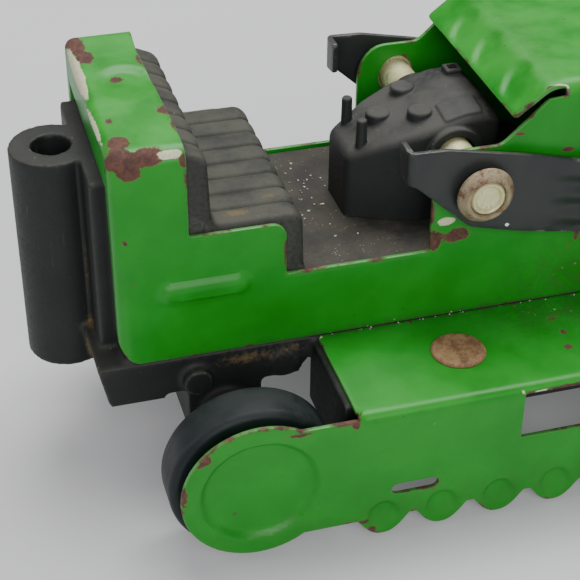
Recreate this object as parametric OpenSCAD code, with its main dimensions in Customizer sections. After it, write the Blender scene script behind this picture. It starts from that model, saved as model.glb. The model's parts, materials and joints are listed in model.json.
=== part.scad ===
// Pressed-steel toy front loader with plastic cab fittings, lift arms and a tilting bucket.
// +X is forward, +Y is the driver's left and +Z is up. The ground is z = 0.
// Stations along x below are counted from the rear axle, and heights from the ground.

/* [Body] */
// Width of the pressed body over its side walls
body_w = 38; // [34:1:44]
// Thickness of the pressed sheet
sheet_t = 0.8; // [0.6:0.1:1.0]
// Height of the deck, which is the top of the track frames
deck_z = 24.7; // [24:0.1:26]
// Rear face of the body, behind the rear axle
body_rear = 16.3; // [15.5:0.1:18]
// Height of the strip behind the seat, above the deck
strip_h = 36.4; // [35.5:0.1:38]
// Length of the strip behind the seat
strip_l = 11.3; // [10:0.1:12]
// Height of the side rail beside the floor, above the deck
rail_h = 12.6; // [12:0.1:13]
// Height of the arm rest beside the seat, above the deck
rest_h = 21.7; // [20.5:0.1:22]
// Station of the front edge of the arm rest
rest_front = 9.9; // [9:0.1:11]
// Height of the ear that carries the lift pivot, above the deck
ear_h = 29.9; // [29.5:0.1:32]
// Stations of the ear's rear edge and of the front end of its level top
ear_rear = 33; // [32:0.1:34]
ear_front = 43.6; // [43:0.1:45]
// Height of the hood, above the deck
hood_h = 38.8; // [37:0.1:40]
// Stations of the two ends of the hood
hood_rear = 51; // [50.5:0.1:53]
hood_front = 104; // [102:0.5:106]

/* [Tracks] */
// Distance between the axles
wheelbase = 97; // [95:0.5:98]
// Width over the two track frames
track_w = 80.6; // [78:0.2:84]
// Radius of the round end of a track frame
end_r = 12.1; // [11.5:0.1:12.5]
// Radius of a wheel
wheel_r = 13.2; // [12.8:0.1:13.3]
// Width of a wheel
wheel_w = 7.6; // [6.5:0.1:8]
// Distance between the cleats along the lower edge
cleat_pitch = 9.6; // [9.4:0.1:9.7]
// Radius of an axle
axle_r = 1.6; // [1.4:0.1:1.8]

/* [Hitch] */
// Station of the hitch tube, behind the rear axle
hitch_rear = 21.8; // [21:0.1:22.5]
// Outer radius of the hitch tube
hitch_r = 6.5; // [6:0.1:7]
// Radius of the hitch bore
hitch_bore_r = 3.05; // [2.5:0.05:3.5]

/* [Loader] */
// Station of the lift pivot, and its height above the deck
lift_x = 40; // [39.5:0.1:40.5]
lift_h = 23.8; // [23:0.1:24.5]
// Radius of the lift pivot rod
rod_r = 2.85; // [2.5:0.05:3]
// Outer faces of the lift arms, from the middle plane
arm_y = 21; // [20.8:0.1:21.5]
// Station and height of the bucket pivot
tilt_x = 116; // [115.5:0.1:116.5]
tilt_z = 16; // [15.5:0.1:16.5]
// Width of the bucket
bucket_w = 84; // [80:1:90]
// Station of the tips of the bucket teeth
tooth_tip = 161.7; // [160:0.1:163]
// Number of bucket teeth
teeth = 7; // [5:1:9]

/* [Hidden] */
$fn = 64;

body_y = body_w / 2;
inner_y = body_y - sheet_t;
track_y = track_w / 2;
strip_z = deck_z + strip_h;
strip_front = strip_l - body_rear;
rail_z = deck_z + rail_h;
rest_z = deck_z + rest_h;
ear_z = deck_z + ear_h;
hood_z = deck_z + hood_h;
lift_z = deck_z + lift_h;
floor_z = deck_z + 12;
hitch_top = deck_z + 29.5;
base_z = deck_z - 7.6;
axle_z = wheel_r;
wheel_in = track_y - 10.4;
run_gap = 0.05;
pin_r = 2;
arm_t = 0.9;
arm_in = arm_y - arm_t;
bucket_y = bucket_w / 2;
middle_x = (tooth_tip - hitch_rear - hitch_r) / 2;
green = [0.15, 0.5, 0.14];
black = [0.1, 0.1, 0.11];
satin = [0.08, 0.09, 0.09];
steel = [0.7, 0.68, 0.55];
rust = [0.45, 0.3, 0.18];

// Places what is drawn from the rear axle about the middle of the whole toy.
module from_axle() translate([-middle_x, 0, 0]) children();

// Both sides of the middle plane.
module both_sides() {
  children();
  mirror([0, 1, 0]) children();
}

// A plate upright along x, from y = y0 to y = y1, with its outline drawn in x and z.
module upright(y0, y1) translate([0, y1, 0]) rotate([90, 0, 0]) linear_extrude(y1 - y0) children();

// A round bar along y, from y = y0 to y = y1.
module bar(x, z, r, y0, y1) translate([x, y0, z]) rotate([-90, 0, 0]) cylinder(r = r, h = y1 - y0);

function arc(x, z, r, a0, a1, n = 8) =
  [for (i = [0:n]) [x + r * cos(a0 + (a1 - a0) * i / n), z + r * sin(a0 + (a1 - a0) * i / n)]];

// ---- pressed body ----

rest_corner_r = 2.3;
ear_corner_r = 5;
foot_corner_r = 2.5;
slope_top = 2.2;
strip_lip = 6.8;

module side_wall_outline() polygon(concat(
  arc(foot_corner_r - body_rear, deck_z + foot_corner_r, foot_corner_r, 180, 270),
  [[hood_front, deck_z], [hood_front, hood_z], [hood_rear, hood_z],
   [hood_rear - 0.2, hood_z - slope_top], [ear_front, ear_z]],
  arc(ear_rear + ear_corner_r, ear_z - ear_corner_r, ear_corner_r, 90, 180),
  [[ear_rear, rail_z], [rest_front, rail_z]],
  arc(rest_front - rest_corner_r, rest_z - rest_corner_r, rest_corner_r, 0, 90),
  [[strip_front, rest_z], [strip_front, strip_z], [-body_rear, strip_z]]));

// The flap that leans back from the hood over the driver's instruments.
flap_low = [45.1, hood_z - 4.5];

module cowl_flap() upright(-body_y, body_y) polygon([
  flap_low, [hood_rear, hood_z], [hood_rear + sheet_t, hood_z],
  [hood_rear + sheet_t, hood_z - sheet_t], [hood_rear + 0.3, hood_z - sheet_t],
  flap_low + [0.5, -0.65]]);

// A rounded bead that stiffens the side wall below the arm rest.
module side_bead() upright(-body_y - 0.6, -body_y + 0.1) hull() {
  translate([-8, deck_z + 12.2]) circle(r = 1.8);
  translate([2.4, deck_z + 12.2]) circle(r = 1.8);
}

module body_shell() color(green) from_axle() {
  both_sides() {
    difference() {
      upright(-body_y, -inner_y) side_wall_outline();
      bar(lift_x, lift_z, rod_r + 0.2, -body_y - 1, -inner_y + 1);
    }
    side_bead();
    translate([-body_rear, -body_y, deck_z + 3]) cube([sheet_t, 3.6, strip_h - 5]);
  }
  translate([-body_rear, -body_y, strip_z - sheet_t]) cube([strip_l, body_w, sheet_t]);
  translate([-body_rear, -body_y, strip_z - strip_lip]) cube([sheet_t, body_w, strip_lip]);
  translate([hood_rear, -body_y, hood_z - sheet_t]) cube([hood_front - hood_rear, body_w, sheet_t]);
  cowl_flap();
}

// ---- track frames ----

deck_rear = 15;
deck_front = wheelbase - deck_rear;
end_z = deck_z - 10.9;
edge_z = deck_z - 20.85;
cleat_r = 3.3;
cleats = 7;
first_cleat = (wheelbase - (cleats - 1) * cleat_pitch) / 2;
dish_r = 9.2;
dish_depth = 1.2;
window_rear = 41.6;
window_l = 19.6;
window_z = [deck_z - 9.7, deck_z - 1.2];
slot_l = 7.6;
slot_z = deck_z - 15.5;

module track_plate_outline() {
  for (x = [0, wheelbase]) translate([x, end_z]) circle(r = end_r);
  translate([0, edge_z]) square([wheelbase, deck_z - 0.6 - edge_z]);
  translate([deck_rear, edge_z]) square([deck_front - deck_rear, deck_z - edge_z]);
  for (i = [0:cleats - 1]) translate([first_cleat + i * cleat_pitch, edge_z]) circle(r = cleat_r);
}

module slot_outline(x) for (dx = [-slot_l / 2 + 1, slot_l / 2 - 1]) translate([x + dx, slot_z]) circle(r = 1);

module track_plate() difference() {
  upright(-track_y, -track_y + sheet_t) track_plate_outline();
  for (x = [0, wheelbase]) bar(x, end_z, dish_r, -track_y - 1, -track_y + sheet_t + 1);
  translate([window_rear, -track_y - 1, window_z[0]]) cube([window_l, 3, window_z[1] - window_z[0]]);
  for (x = [24.6, wheelbase - 24.6]) upright(-track_y - 1, -track_y + 2) {
    slot_outline(x);
    translate([x - slot_l / 2 + 1, slot_z - 1]) square([slot_l - 2, 2]);
  }
}

// The round pressing in each end of the plate, sunk towards the wheel.
module end_dish(x) difference() {
  bar(x, end_z, dish_r, -track_y, -track_y + sheet_t + dish_depth);
  bar(x, end_z, dish_r - sheet_t, -track_y - 1, -track_y + dish_depth);
}

module track_frame() color(green) from_axle() {
  track_plate();
  for (x = [0, wheelbase]) end_dish(x);
  difference() {
    translate([deck_rear, -track_y, deck_z - sheet_t])
      cube([deck_front - deck_rear, track_y - body_y - 0.05, sheet_t]);
    for (x = rivet_x) translate([x, -rivet_y, deck_z - 2]) cylinder(r = rivet_shank_r, h = 4);
  }
}

module track_frame_right() track_frame();
module track_frame_left() mirror([0, 1, 0]) track_frame();

// ---- rivets that hold the track frames ----

rivet_x = [34.9, wheelbase - 34.9];
rivet_y = 28.9;
rivet_r = 4.4;
rivet_shank_r = 1.8;
wing_t = 2.2;
wing_z = deck_z - sheet_t - wing_t;

module flange_rivet() {
  rotate_extrude() polygon(concat([[0, 0]], [[rivet_r, 0]], [for (a = [15:15:90]) [rivet_r * cos(a), sin(a)]]));
  translate([0, 0, -sheet_t - wing_t - 0.9]) cylinder(r = rivet_shank_r, h = sheet_t + wing_t + 0.95);
  translate([0, 0, -sheet_t - wing_t - 0.9]) cylinder(r = 3, h = 0.9);
}

module flange_rivets() color(rust) from_axle() for (x = rivet_x, s = [-1, 1])
  translate([x, s * rivet_y, deck_z]) flange_rivet();

// ---- plastic base with the hitch tube ----

base_y = body_y - 0.1;
base_front = hood_front - 1;
block_x = -18.4;
block_y = 13.4;
wing_x = [deck_rear - 0.8, wheelbase - deck_rear + 0.8];
wing_y = track_y - 4;
skirt_t = 1.2;
skirt_z = deck_z - 5.6;
arch_z = deck_z - 13;
side_boss = [[-4.6, 1.8], [9.7, 0.5]];
axle_block_l = 12;

module hitch_tube() {
  translate([-hitch_rear, 0, base_z]) cylinder(r = hitch_r, h = hitch_top - base_z);
  translate([block_x, -block_y, base_z]) cube([-15.4 - block_x, 2 * block_y, hitch_top - base_z]);
}

// Carries a track frame: a plate under the deck with a skirt along its outer edge and a wall behind each wheel.
module deck_wing() {
  translate([wing_x[0], -wing_y, wing_z]) cube([wing_x[1] - wing_x[0], wing_y - base_y + 1, wing_t]);
  translate([wing_x[0], -wing_y, skirt_z]) cube([wing_x[1] - wing_x[0], skirt_t, wing_z - skirt_z + 1]);
  for (x = [wing_x[0], wing_x[1] - skirt_t])
    translate([x, -wing_y, arch_z]) cube([skirt_t, wing_y - base_y + 1, wing_z - arch_z + 1]);
}

module base_slab() {
  upright(-base_y, base_y) polygon([[-20, deck_z - 0.05], [-18.4, base_z], [-9.8, base_z], [-9.4, base_z + 0.6],
    [12, base_z + 0.6], [14, deck_z - 3.4], [base_front - 14, deck_z - 3.4], [base_front - 12, base_z + 0.6],
    [base_front, base_z + 0.6], [base_front, deck_z - 0.05]]);
  both_sides() deck_wing();
  both_sides() for (b = side_boss) bar(b[0], deck_z - 4.4, 2.3, -base_y - b[1], -base_y + 1);
}

module axle_carrier(x) {
  translate([x - axle_block_l / 2, -base_y, axle_z - 4]) cube([axle_block_l, 2 * base_y, base_z + 5 - axle_z]);
  bar(x, axle_z, 4, -wheel_in + 0.3, wheel_in - 0.3);
}

module chassis_base() color(black) from_axle() {
  difference() {
    union() {
      base_slab();
      for (x = [0, wheelbase]) axle_carrier(x);
      hitch_tube();
      translate([-15.5, -inner_y + 0.1, deck_z - 0.1]) cube([1.6, 2 * inner_y - 0.2, strip_h - 1.1]);
    }
    translate([-hitch_rear, 0, base_z - 1]) cylinder(r = hitch_bore_r, h = hitch_top - base_z + 2);
    for (x = [0, wheelbase]) bar(x, axle_z, axle_r + run_gap, -track_y, track_y);
    for (x = rivet_x, s = [-1, 1]) translate([x, s * rivet_y, wing_z - 1]) cylinder(r = rivet_shank_r, h = 4);
  }
}

// ---- cab fittings ----

cab_y = inner_y - 0.1;
seat_rear = -13.7;

module cab_floor() color(black) from_axle() {
  translate([seat_rear, -cab_y, floor_z - 1.2]) cube([62 - seat_rear, 2 * cab_y, 1.2]);
  for (x = [-10, 58]) translate([x, -cab_y + 2, deck_z]) cube([1.6, 2 * cab_y - 4, floor_z - 1.1 - deck_z]);
}

seat_ribs = 8;
seat_y = cab_y - 0.1;
rib_pitch = 2 * seat_y / seat_ribs;
rib_gap = 0.8;

// Side view of the seat, drawn in by an inset on the cushion and on the back.
module seat_outline(inset) polygon([
  [seat_rear, floor_z], [13.2 - inset, floor_z], [12.9 - inset, deck_z + 20.9 - inset],
  [11.4 - inset, deck_z + 22.6 - inset], [-1 - inset, deck_z + 22.6 - inset],
  [-1.6 - inset, deck_z + 33 - inset], [-2.8 - inset, deck_z + 34.6 - inset],
  [strip_front, strip_z - sheet_t - 0.1], [seat_rear, strip_z - sheet_t - 0.1]]);

module seat() color(black) from_axle() {
  upright(-seat_y, seat_y) seat_outline(0.7);
  for (i = [0:seat_ribs - 1]) let (y = -seat_y + i * rib_pitch)
    upright(y + rib_gap / 2, y + rib_pitch - rib_gap / 2) seat_outline(0);
}

console_rear = 23.6;
console_front = 48;
console_y = 10.2;
button_at = [[30.3, 0, 26.8], [35.8, -4.2, 29], [35.8, 4.2, 29]];
lever_at = [[26.3, 3.6], [26.3, -4]];

module console_block() intersection() {
  upright(-console_y, console_y) polygon([[console_rear + 1, floor_z], [console_rear, deck_z + 14],
    [console_rear, deck_z + 23.2], [30, deck_z + 26.6], [36, deck_z + 29], [42, deck_z + 30.6],
    [console_front - 1.5, deck_z + 30.2], [console_front, deck_z + 28], [console_front, floor_z]]);
  linear_extrude(100) polygon([[console_rear, -4.7], [30, -7.8], [36, -9], [console_front, -9],
    [console_front, 9], [36, 9], [30, 7.8], [console_rear, 4.7]]);
}

module dash_console() color(black) from_axle() {
  difference() {
    union() {
      console_block();
      bar(lift_x, lift_z, 4.6, -console_y, console_y);
    }
    bar(lift_x, lift_z, rod_r + 0.35, -console_y - 1, console_y + 1);
  }
  for (b = button_at) translate([b[0], b[1], deck_z + b[2] - 1]) rotate([0, -20, 0]) cylinder(r = 1.8, h = 1.9);
  for (l = lever_at) translate([l[0] - 0.7, l[1] - 0.7, deck_z + 22]) cube([1.4, 1.4, 8]);
  translate([43.4, 4.4, deck_z + 29]) cube([2.8, 2.8, 3.6]);
}

grille_bars = 7;

module grille() color(black) from_axle() difference() {
  translate([hood_front - 4, -cab_y, deck_z]) cube([4.6, 2 * cab_y, hood_h - sheet_t - 0.1]);
  for (i = [0:grille_bars - 1])
    translate([hood_front - 1, -cab_y + 3, deck_z + 4 + i * 4.6]) cube([3, 2 * cab_y - 6, 2.6]);
}

// ---- running gear ----

hub_face = track_y - 4;

module axle(x) color(steel) from_axle() bar(x, axle_z, axle_r, 2.3 - track_y, track_y - 2.3);
module rear_axle() axle(0);
module front_axle() axle(wheelbase);

module axle_push_nuts() color(steel) from_axle() for (x = [0, wheelbase]) both_sides() difference() {
  bar(x, axle_z, 3.4, -hub_face - 1, -hub_face - 0.1);
  bar(x, axle_z, axle_r, -hub_face - 2, -hub_face + 1);
}

// Half section of a wheel, as radius and distance outwards from its inner face.
module wheel_section() polygon(concat(
  [[axle_r + run_gap, 0], [wheel_r - 1.6, 0]],
  arc(wheel_r - 1.6, 1.6, 1.6, -60, 0, 4),
  arc(wheel_r - 2, wheel_w - 2, 2, 0, 80, 5),
  [[wheel_r - 3, wheel_w], [wheel_r - 3.6, wheel_w - 1.4], [axle_r + run_gap, wheel_w - 1.4]]));

module wheel(x) color(black) from_axle() translate([x, -wheel_in, axle_z]) rotate([90, 0, 0])
  rotate_extrude() wheel_section();

module wheel_rear_right() wheel(0);
module wheel_rear_left() mirror([0, 1, 0]) wheel(0);
module wheel_front_right() wheel(wheelbase);
module wheel_front_left() mirror([0, 1, 0]) wheel(wheelbase);

// ---- lift linkage ----

cap_r = 4.6;
cap_neck_l = 0.9;
cap_rim_l = 0.9;
cap_dome_l = 1.2;
cap_start = arm_y + 0.1;
cap_end = cap_start + cap_neck_l + cap_rim_l + cap_dome_l;
rod_end = cap_end + 0.1;

module lift_pivot_rod() color(steel) from_axle() bar(lift_x, lift_z, rod_r, -rod_end, rod_end);

module ring_on_rod(r_out, r_in, y0, y1) both_sides() difference() {
  bar(lift_x, lift_z, r_out, -y1, -y0);
  bar(lift_x, lift_z, r_in, -y1 - 1, -y0 + 1);
}

// A domed cap pressed on each end of the rod, with its rim clear of the arm.
module pivot_caps() color(rust) from_axle() both_sides() difference() {
  translate([lift_x, -cap_start, lift_z]) rotate([90, 0, 0]) {
    cylinder(r = cap_r - 1, h = cap_neck_l + 0.1);
    translate([0, 0, cap_neck_l]) cylinder(r = cap_r, h = cap_rim_l);
    translate([0, 0, cap_neck_l + cap_rim_l]) cylinder(r1 = cap_r, r2 = cap_r - 1.3, h = cap_dome_l);
  }
  bar(lift_x, lift_z, rod_r, -cap_end - 1, -cap_start + 1);
}

module arm_spacers() color(steel) from_axle() ring_on_rod(cap_r, rod_r + 0.02, body_y + 0.05, arm_in - 0.1);

arm_rear = 28;
arm_tip_r = 4.6;
brace_x = 110;
brace_z = 21;
brace_r = 2.2;
tab_in = 16.6;

module arm_outline() {
  polygon([[arm_rear, deck_z + 32], [38.3, deck_z + 30.7], [47.6, deck_z + 28.7], [84, deck_z + 19.6],
    [tilt_x + 2.7, tilt_z + 3.7], [tilt_x - 2.7, tilt_z - 3.7], [82, deck_z + 7.4], [57.5, deck_z + 13.2],
    [46.2, deck_z + 15.4], [40.2, deck_z + 17.1], [37.2, deck_z + 18.4], [29.1, deck_z + 25.9],
    [arm_rear, deck_z + 26.6]]);
  translate([tilt_x, tilt_z]) circle(r = arm_tip_r);
}

module lift_arm() color(satin) from_axle() {
  difference() {
    upright(-arm_y, -arm_in) arm_outline();
    bar(lift_x, lift_z, rod_r + run_gap, -arm_y - 1, -arm_in + 1);
    bar(tilt_x, tilt_z, pin_r, -arm_y - 1, -arm_in + 1);
    bar(brace_x, brace_z, 1.4, -arm_y - 1, -arm_in + 1);
  }
  translate([arm_rear, -arm_y, deck_z + 26.6]) cube([arm_t, arm_y - tab_in, 5.2]);
}

module lift_arm_right() lift_arm();
module lift_arm_left() mirror([0, 1, 0]) lift_arm();

module arm_cross_brace() color(satin) from_axle() {
  bar(brace_x, brace_z, brace_r, -arm_in, arm_in);
  bar(brace_x, brace_z, 1.4, -arm_y - 0.6, arm_y + 0.6);
  both_sides() bar(brace_x, brace_z, 2.4, -arm_y - 0.6, -arm_y);
}

lug_t = 0.9;
lug_out = arm_in - 0.15;

module bucket_pins() color(steel) from_axle() both_sides() {
  bar(tilt_x, tilt_z, pin_r, -arm_y - 1, -lug_out + lug_t + 1);
  bar(tilt_x, tilt_z, 3.4, -arm_y - 1, -arm_y);
  bar(tilt_x, tilt_z, 3.2, -lug_out + lug_t + 0.15, -lug_out + lug_t + 1);
}

// ---- bucket ----

curve_x = 136;
curve_z = 15.4;
curve_r = 14.4;
bucket_top = [125, 36];
lip_x = 156.5;
lip_z = 0.6;

// Outer side of the back and the floor, drawn in by the sheet for the inner side.
function bucket_line(t) = concat([bucket_top + [t, 0]], arc(curve_x, curve_z, curve_r - t, 175, 268, 12),
  [[lip_x, lip_z + t]]);

function reversed(list) = [for (i = [len(list) - 1:-1:0]) list[i]];

module bucket_sheet() upright(-bucket_y, bucket_y)
  polygon(concat(bucket_line(0), reversed(bucket_line(0.9))));

module bucket_cheek() upright(-bucket_y, -bucket_y + 0.9)
  polygon(concat(bucket_line(0), [[lip_x - 2, 5], [135, 36]]));

module bucket_lug() difference() {
  upright(-lug_out, -lug_out + lug_t) hull() {
    translate([tilt_x, tilt_z]) circle(r = 4.4);
    translate([curve_x - curve_r + 0.4, tilt_z - 6]) square([0.2, 16]);
  }
  bar(tilt_x, tilt_z, pin_r + run_gap, -lug_out - 1, -lug_out + lug_t + 1);
}

tooth_pitch = (bucket_w - 6) / (teeth - 1);

module tooth() translate([0, 0, lip_z]) linear_extrude(0.9)
  polygon([[lip_x - 0.5, -3], [tooth_tip, -1.2], [tooth_tip, 1.2], [lip_x - 0.5, 3]]);

module bucket() color(green) from_axle() {
  bucket_sheet();
  both_sides() {
    bucket_cheek();
    bucket_lug();
  }
  for (i = [0:teeth - 1]) translate([0, 3 - bucket_y + i * tooth_pitch, 0]) tooth();
}

body_shell();
track_frame_right();
track_frame_left();
chassis_base();
cab_floor();
seat();
dash_console();
grille();
flange_rivets();
rear_axle();
front_axle();
axle_push_nuts();
wheel_rear_right();
wheel_rear_left();
wheel_front_right();
wheel_front_left();
lift_pivot_rod();
pivot_caps();
arm_spacers();
lift_arm_right();
lift_arm_left();
arm_cross_brace();
bucket_pins();
bucket();
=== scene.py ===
"""The looks of a worn pressed-steel toy front loader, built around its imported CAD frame."""

import json
import math
import random

import bmesh
import bpy
import numpy as np
from mathutils import Matrix, Vector, geometry, noise

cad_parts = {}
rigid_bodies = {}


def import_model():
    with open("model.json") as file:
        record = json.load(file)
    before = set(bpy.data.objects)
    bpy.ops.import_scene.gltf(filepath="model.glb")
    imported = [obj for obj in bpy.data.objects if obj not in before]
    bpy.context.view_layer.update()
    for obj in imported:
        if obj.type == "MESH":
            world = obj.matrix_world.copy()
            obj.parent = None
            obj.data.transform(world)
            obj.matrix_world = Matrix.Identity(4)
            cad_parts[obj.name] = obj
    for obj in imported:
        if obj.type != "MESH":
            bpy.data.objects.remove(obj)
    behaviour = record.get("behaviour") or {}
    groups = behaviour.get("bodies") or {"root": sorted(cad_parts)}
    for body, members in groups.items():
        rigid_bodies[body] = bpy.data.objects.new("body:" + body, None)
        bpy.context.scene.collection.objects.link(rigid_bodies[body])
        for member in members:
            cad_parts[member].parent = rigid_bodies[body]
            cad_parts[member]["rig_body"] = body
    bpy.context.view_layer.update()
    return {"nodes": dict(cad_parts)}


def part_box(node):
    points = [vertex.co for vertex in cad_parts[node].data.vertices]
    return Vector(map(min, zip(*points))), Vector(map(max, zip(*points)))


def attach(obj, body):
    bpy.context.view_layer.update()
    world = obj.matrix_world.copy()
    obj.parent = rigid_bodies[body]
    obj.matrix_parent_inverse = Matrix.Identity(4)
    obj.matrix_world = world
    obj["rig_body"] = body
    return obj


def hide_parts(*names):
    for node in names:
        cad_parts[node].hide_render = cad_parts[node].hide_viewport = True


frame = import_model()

# ---------------------------------------------------------------------------
# Sizes, in millimetres. x counts forward from the rear axle, y to the driver's
# left, and z up from the deck, which is the top of the track frames.
# ---------------------------------------------------------------------------

MM = 0.001


def mm_box(node):
    low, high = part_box(node)
    return low / MM, high / MM


def middle(node):
    low, high = mm_box(node)
    return (low + high) / 2


AXLE_X = middle("rear_axle").x
DECK = mm_box("body_shell")[0].z
BEAD_H = 0.6
BODY_LOW, BODY_HIGH = mm_box("body_shell")
BODY_Y = BODY_HIGH.y - BEAD_H
BODY_REAR = BODY_LOW.x - AXLE_X
HOOD_FRONT = BODY_HIGH.x - AXLE_X
HOOD_Z = BODY_HIGH.z - DECK
WHEELBASE = middle("front_axle").x - AXLE_X
AXLE_Z = middle("rear_axle").z - DECK
GROUND = -DECK
TRACK_Y = mm_box("track_frame_left")[1].y
LIFT_X = middle("lift_pivot_rod").x - AXLE_X
LIFT_Z = middle("lift_pivot_rod").z - DECK
ROD_LOW, ROD_HIGH = mm_box("lift_pivot_rod")
ROD_R = (ROD_HIGH.z - ROD_LOW.z) / 2
ARM_Y = mm_box("lift_arm_left")[1].y
FLOOR_Z = mm_box("cab_floor")[1].z - DECK
TILT_X = middle("bucket_pins").x - AXLE_X
TILT_Z = middle("bucket_pins").z - DECK
BUCKET_HIGH = mm_box("bucket")[1]
SHEET = 0.8


def row(x, y, z):
    """A local place, in millimetres, as a point of the row frame, in metres."""
    return Vector(((x + AXLE_X) * MM, y * MM, (z + DECK) * MM))


# ---------------------------------------------------------------------------
# Outlines
# ---------------------------------------------------------------------------


def arc(cx, cy, r, a0, a1, n=10):
    """Points along an arc, with its angles in degrees."""
    angles = [math.radians(a0 + (a1 - a0) * i / n) for i in range(n + 1)]
    return [(cx + r * math.cos(a), cy + r * math.sin(a)) for a in angles]


def circle(cx, cy, r, n=48):
    return arc(cx, cy, r, 0, 360, n)[:-1]


def rounded(corners, turn=15):
    """A closed outline from corners (x, y, radius), with an arc at each corner that has a radius."""
    loop = []
    for i, (x, y, r) in enumerate(corners):
        corner = Vector((x, y))
        if r <= 0:
            loop.append((x, y))
            continue
        before = (Vector(corners[i - 1][:2]) - corner).normalized()
        after = (Vector(corners[(i + 1) % len(corners)][:2]) - corner).normalized()
        opening = before.angle(after)
        reach = r / math.tan(opening / 2)
        centre = corner + (before + after).normalized() * (r / math.sin(opening / 2))
        start = corner + before * reach - centre
        side = math.copysign(1, before.x * after.y - before.y * after.x)
        sweep = -side * (math.pi - opening)
        steps = max(2, round(math.degrees(abs(sweep)) / turn))
        for k in range(steps + 1):
            spoke = Matrix.Rotation(sweep * k / steps, 2) @ start
            loop.append((centre.x + spoke.x, centre.y + spoke.y))
    return loop


def rectangle(x0, y0, x1, y1, r, turn=15):
    """A closed rectangular outline with rounded corners."""
    return rounded([(x0, y0, r), (x1, y0, r), (x1, y1, r), (x0, y1, r)], turn)


def densify(loop, step):
    """Adds points so that no side of a closed outline is longer than step."""
    out = []
    for a, b in zip(loop, loop[1:] + loop[:1]):
        n = max(1, math.ceil(math.dist(a, b) / step))
        out += [(a[0] + (b[0] - a[0]) * i / n, a[1] + (b[1] - a[1]) * i / n) for i in range(n)]
    return out


def signed_area(loop):
    pairs = zip(loop, loop[1:] + loop[:1])
    return sum(a[0] * b[1] - b[0] * a[1] for a, b in pairs) / 2


def inward_ways(loop, hole):
    """For each point of an outline, the direction in its plane that leads into the sheet."""
    turn = 1 if (signed_area(loop) > 0) != hole else -1
    ways = []
    for before, here, after in zip(loop[-1:] + loop[:-1], loop, loop[1:] + loop[:1]):
        a = (Vector(here) - Vector(before)).normalized()
        b = (Vector(after) - Vector(here)).normalized()
        along = a + b
        if along.length < 1e-6:
            along = b
        along.normalize()
        stretch = 1 / max(0.5, along.dot(b))
        ways.append(Vector((-along.y, along.x)) * turn * stretch)
    return ways


def inside(points, loop):
    """Which of the points lie inside the closed outline."""
    x, y = points[:, 0], points[:, 1]
    result = np.zeros(len(points), bool)
    for (x0, y0), (x1, y1) in zip(loop, loop[1:] + loop[:1]):
        if y0 == y1:
            continue
        crosses = (y0 > y) != (y1 > y)
        result ^= crosses & (x < x0 + (y - y0) * (x1 - x0) / (y1 - y0))
    return result


def distance_to(points, others):
    """Distance from each point to the nearest of the others."""
    nearest = np.empty(len(points))
    for start in range(0, len(points), 2000):
        part = points[start:start + 2000]
        gaps = part[:, None, :] - others[None, :, :]
        nearest[start:start + 2000] = np.sqrt((gaps ** 2).sum(2).min(1))
    return nearest


def fill(loops, step):
    """Triangles over the first outline less the others.

    Returns the points, with the outlines' own ones first, and the triangles between them.
    """
    rim = np.array([p for loop in loops for p in loop])
    low, high = rim.min(0), rim.max(0)
    rows = np.arange(low[1], high[1], step * 0.87)
    columns = np.arange(low[0], high[0], step)
    grid = [(x + (i % 2) * step / 2, y) for i, y in enumerate(rows) for x in columns]
    grid = np.array(grid)
    grid = grid[inside(grid, loops[0])]
    for hole in loops[1:]:
        grid = grid[~inside(grid, hole)]
    if len(grid):
        grid = grid[distance_to(grid, rim) > step * 0.6]
    points = [tuple(p) for p in rim] + [tuple(p) for p in grid]
    sides = []
    start = 0
    for loop in loops:
        sides += [(start + i, start + (i + 1) % len(loop)) for i in range(len(loop))]
        start += len(loop)
    found = geometry.delaunay_2d_cdt([Vector(p) for p in points], sides, [], 0, 1e-7)
    if not all(found[3]):
        raise ValueError("an outline crosses itself")
    source = [origin[0] for origin in found[3]]
    faces = [tuple(source[i] for i in face) for face in found[2]]
    centres = np.array([np.mean([points[i] for i in face], axis=0) for face in faces])
    keep = inside(centres, loops[0])
    for hole in loops[1:]:
        keep &= ~inside(centres, hole)
    return points, [face for face, kept in zip(faces, keep) if kept]


# ---------------------------------------------------------------------------
# Meshes
# ---------------------------------------------------------------------------

SHARP_ANGLE = math.radians(38)


def add_object(name, data):
    """Puts a new object into the scene."""
    obj = bpy.data.objects.new(name, data)
    bpy.context.scene.collection.objects.link(obj)
    return obj


def make(name, points, faces):
    """A smooth-shaded object from points in local millimetres."""
    mesh = bpy.data.meshes.new(name)
    mesh.from_pydata([row(*p) for p in points], [], faces)
    build = bmesh.new()
    build.from_mesh(mesh)
    bmesh.ops.recalc_face_normals(build, faces=build.faces)
    build.to_mesh(mesh)
    build.free()
    obj = add_object(name, mesh)
    smooth(obj)
    return obj


def smooth(obj, angle=SHARP_ANGLE):
    obj.data.shade_smooth()
    obj.data.set_sharp_from_angle(angle=angle)


def local_places(obj):
    """The vertices of an object in local millimetres."""
    co = np.empty(len(obj.data.vertices) * 3)
    obj.data.vertices.foreach_get("co", co)
    co = co.reshape(-1, 3) / MM
    return co - np.array([AXLE_X, 0, DECK])


def put_layer(obj, layer, values):
    attribute = obj.data.attributes.get(layer) or obj.data.attributes.new(layer, "FLOAT", "POINT")
    attribute.data.foreach_set("value", np.asarray(values, float))


def stain(obj, layer, blobs):
    """Paints soft blobs (x, y, z, half sizes, strength) into a layer that the materials read."""
    places = local_places(obj)
    values = np.zeros(len(places))
    for x, y, z, rx, ry, rz, strength in blobs:
        far = (((places - np.array([x, y, z])) / np.array([rx, ry, rz])) ** 2).sum(1)
        values = np.maximum(values, strength * np.exp(-far))
    put_layer(obj, layer, values)


# The radius of a sheared edge.
EDGE_R = 0.17


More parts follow.
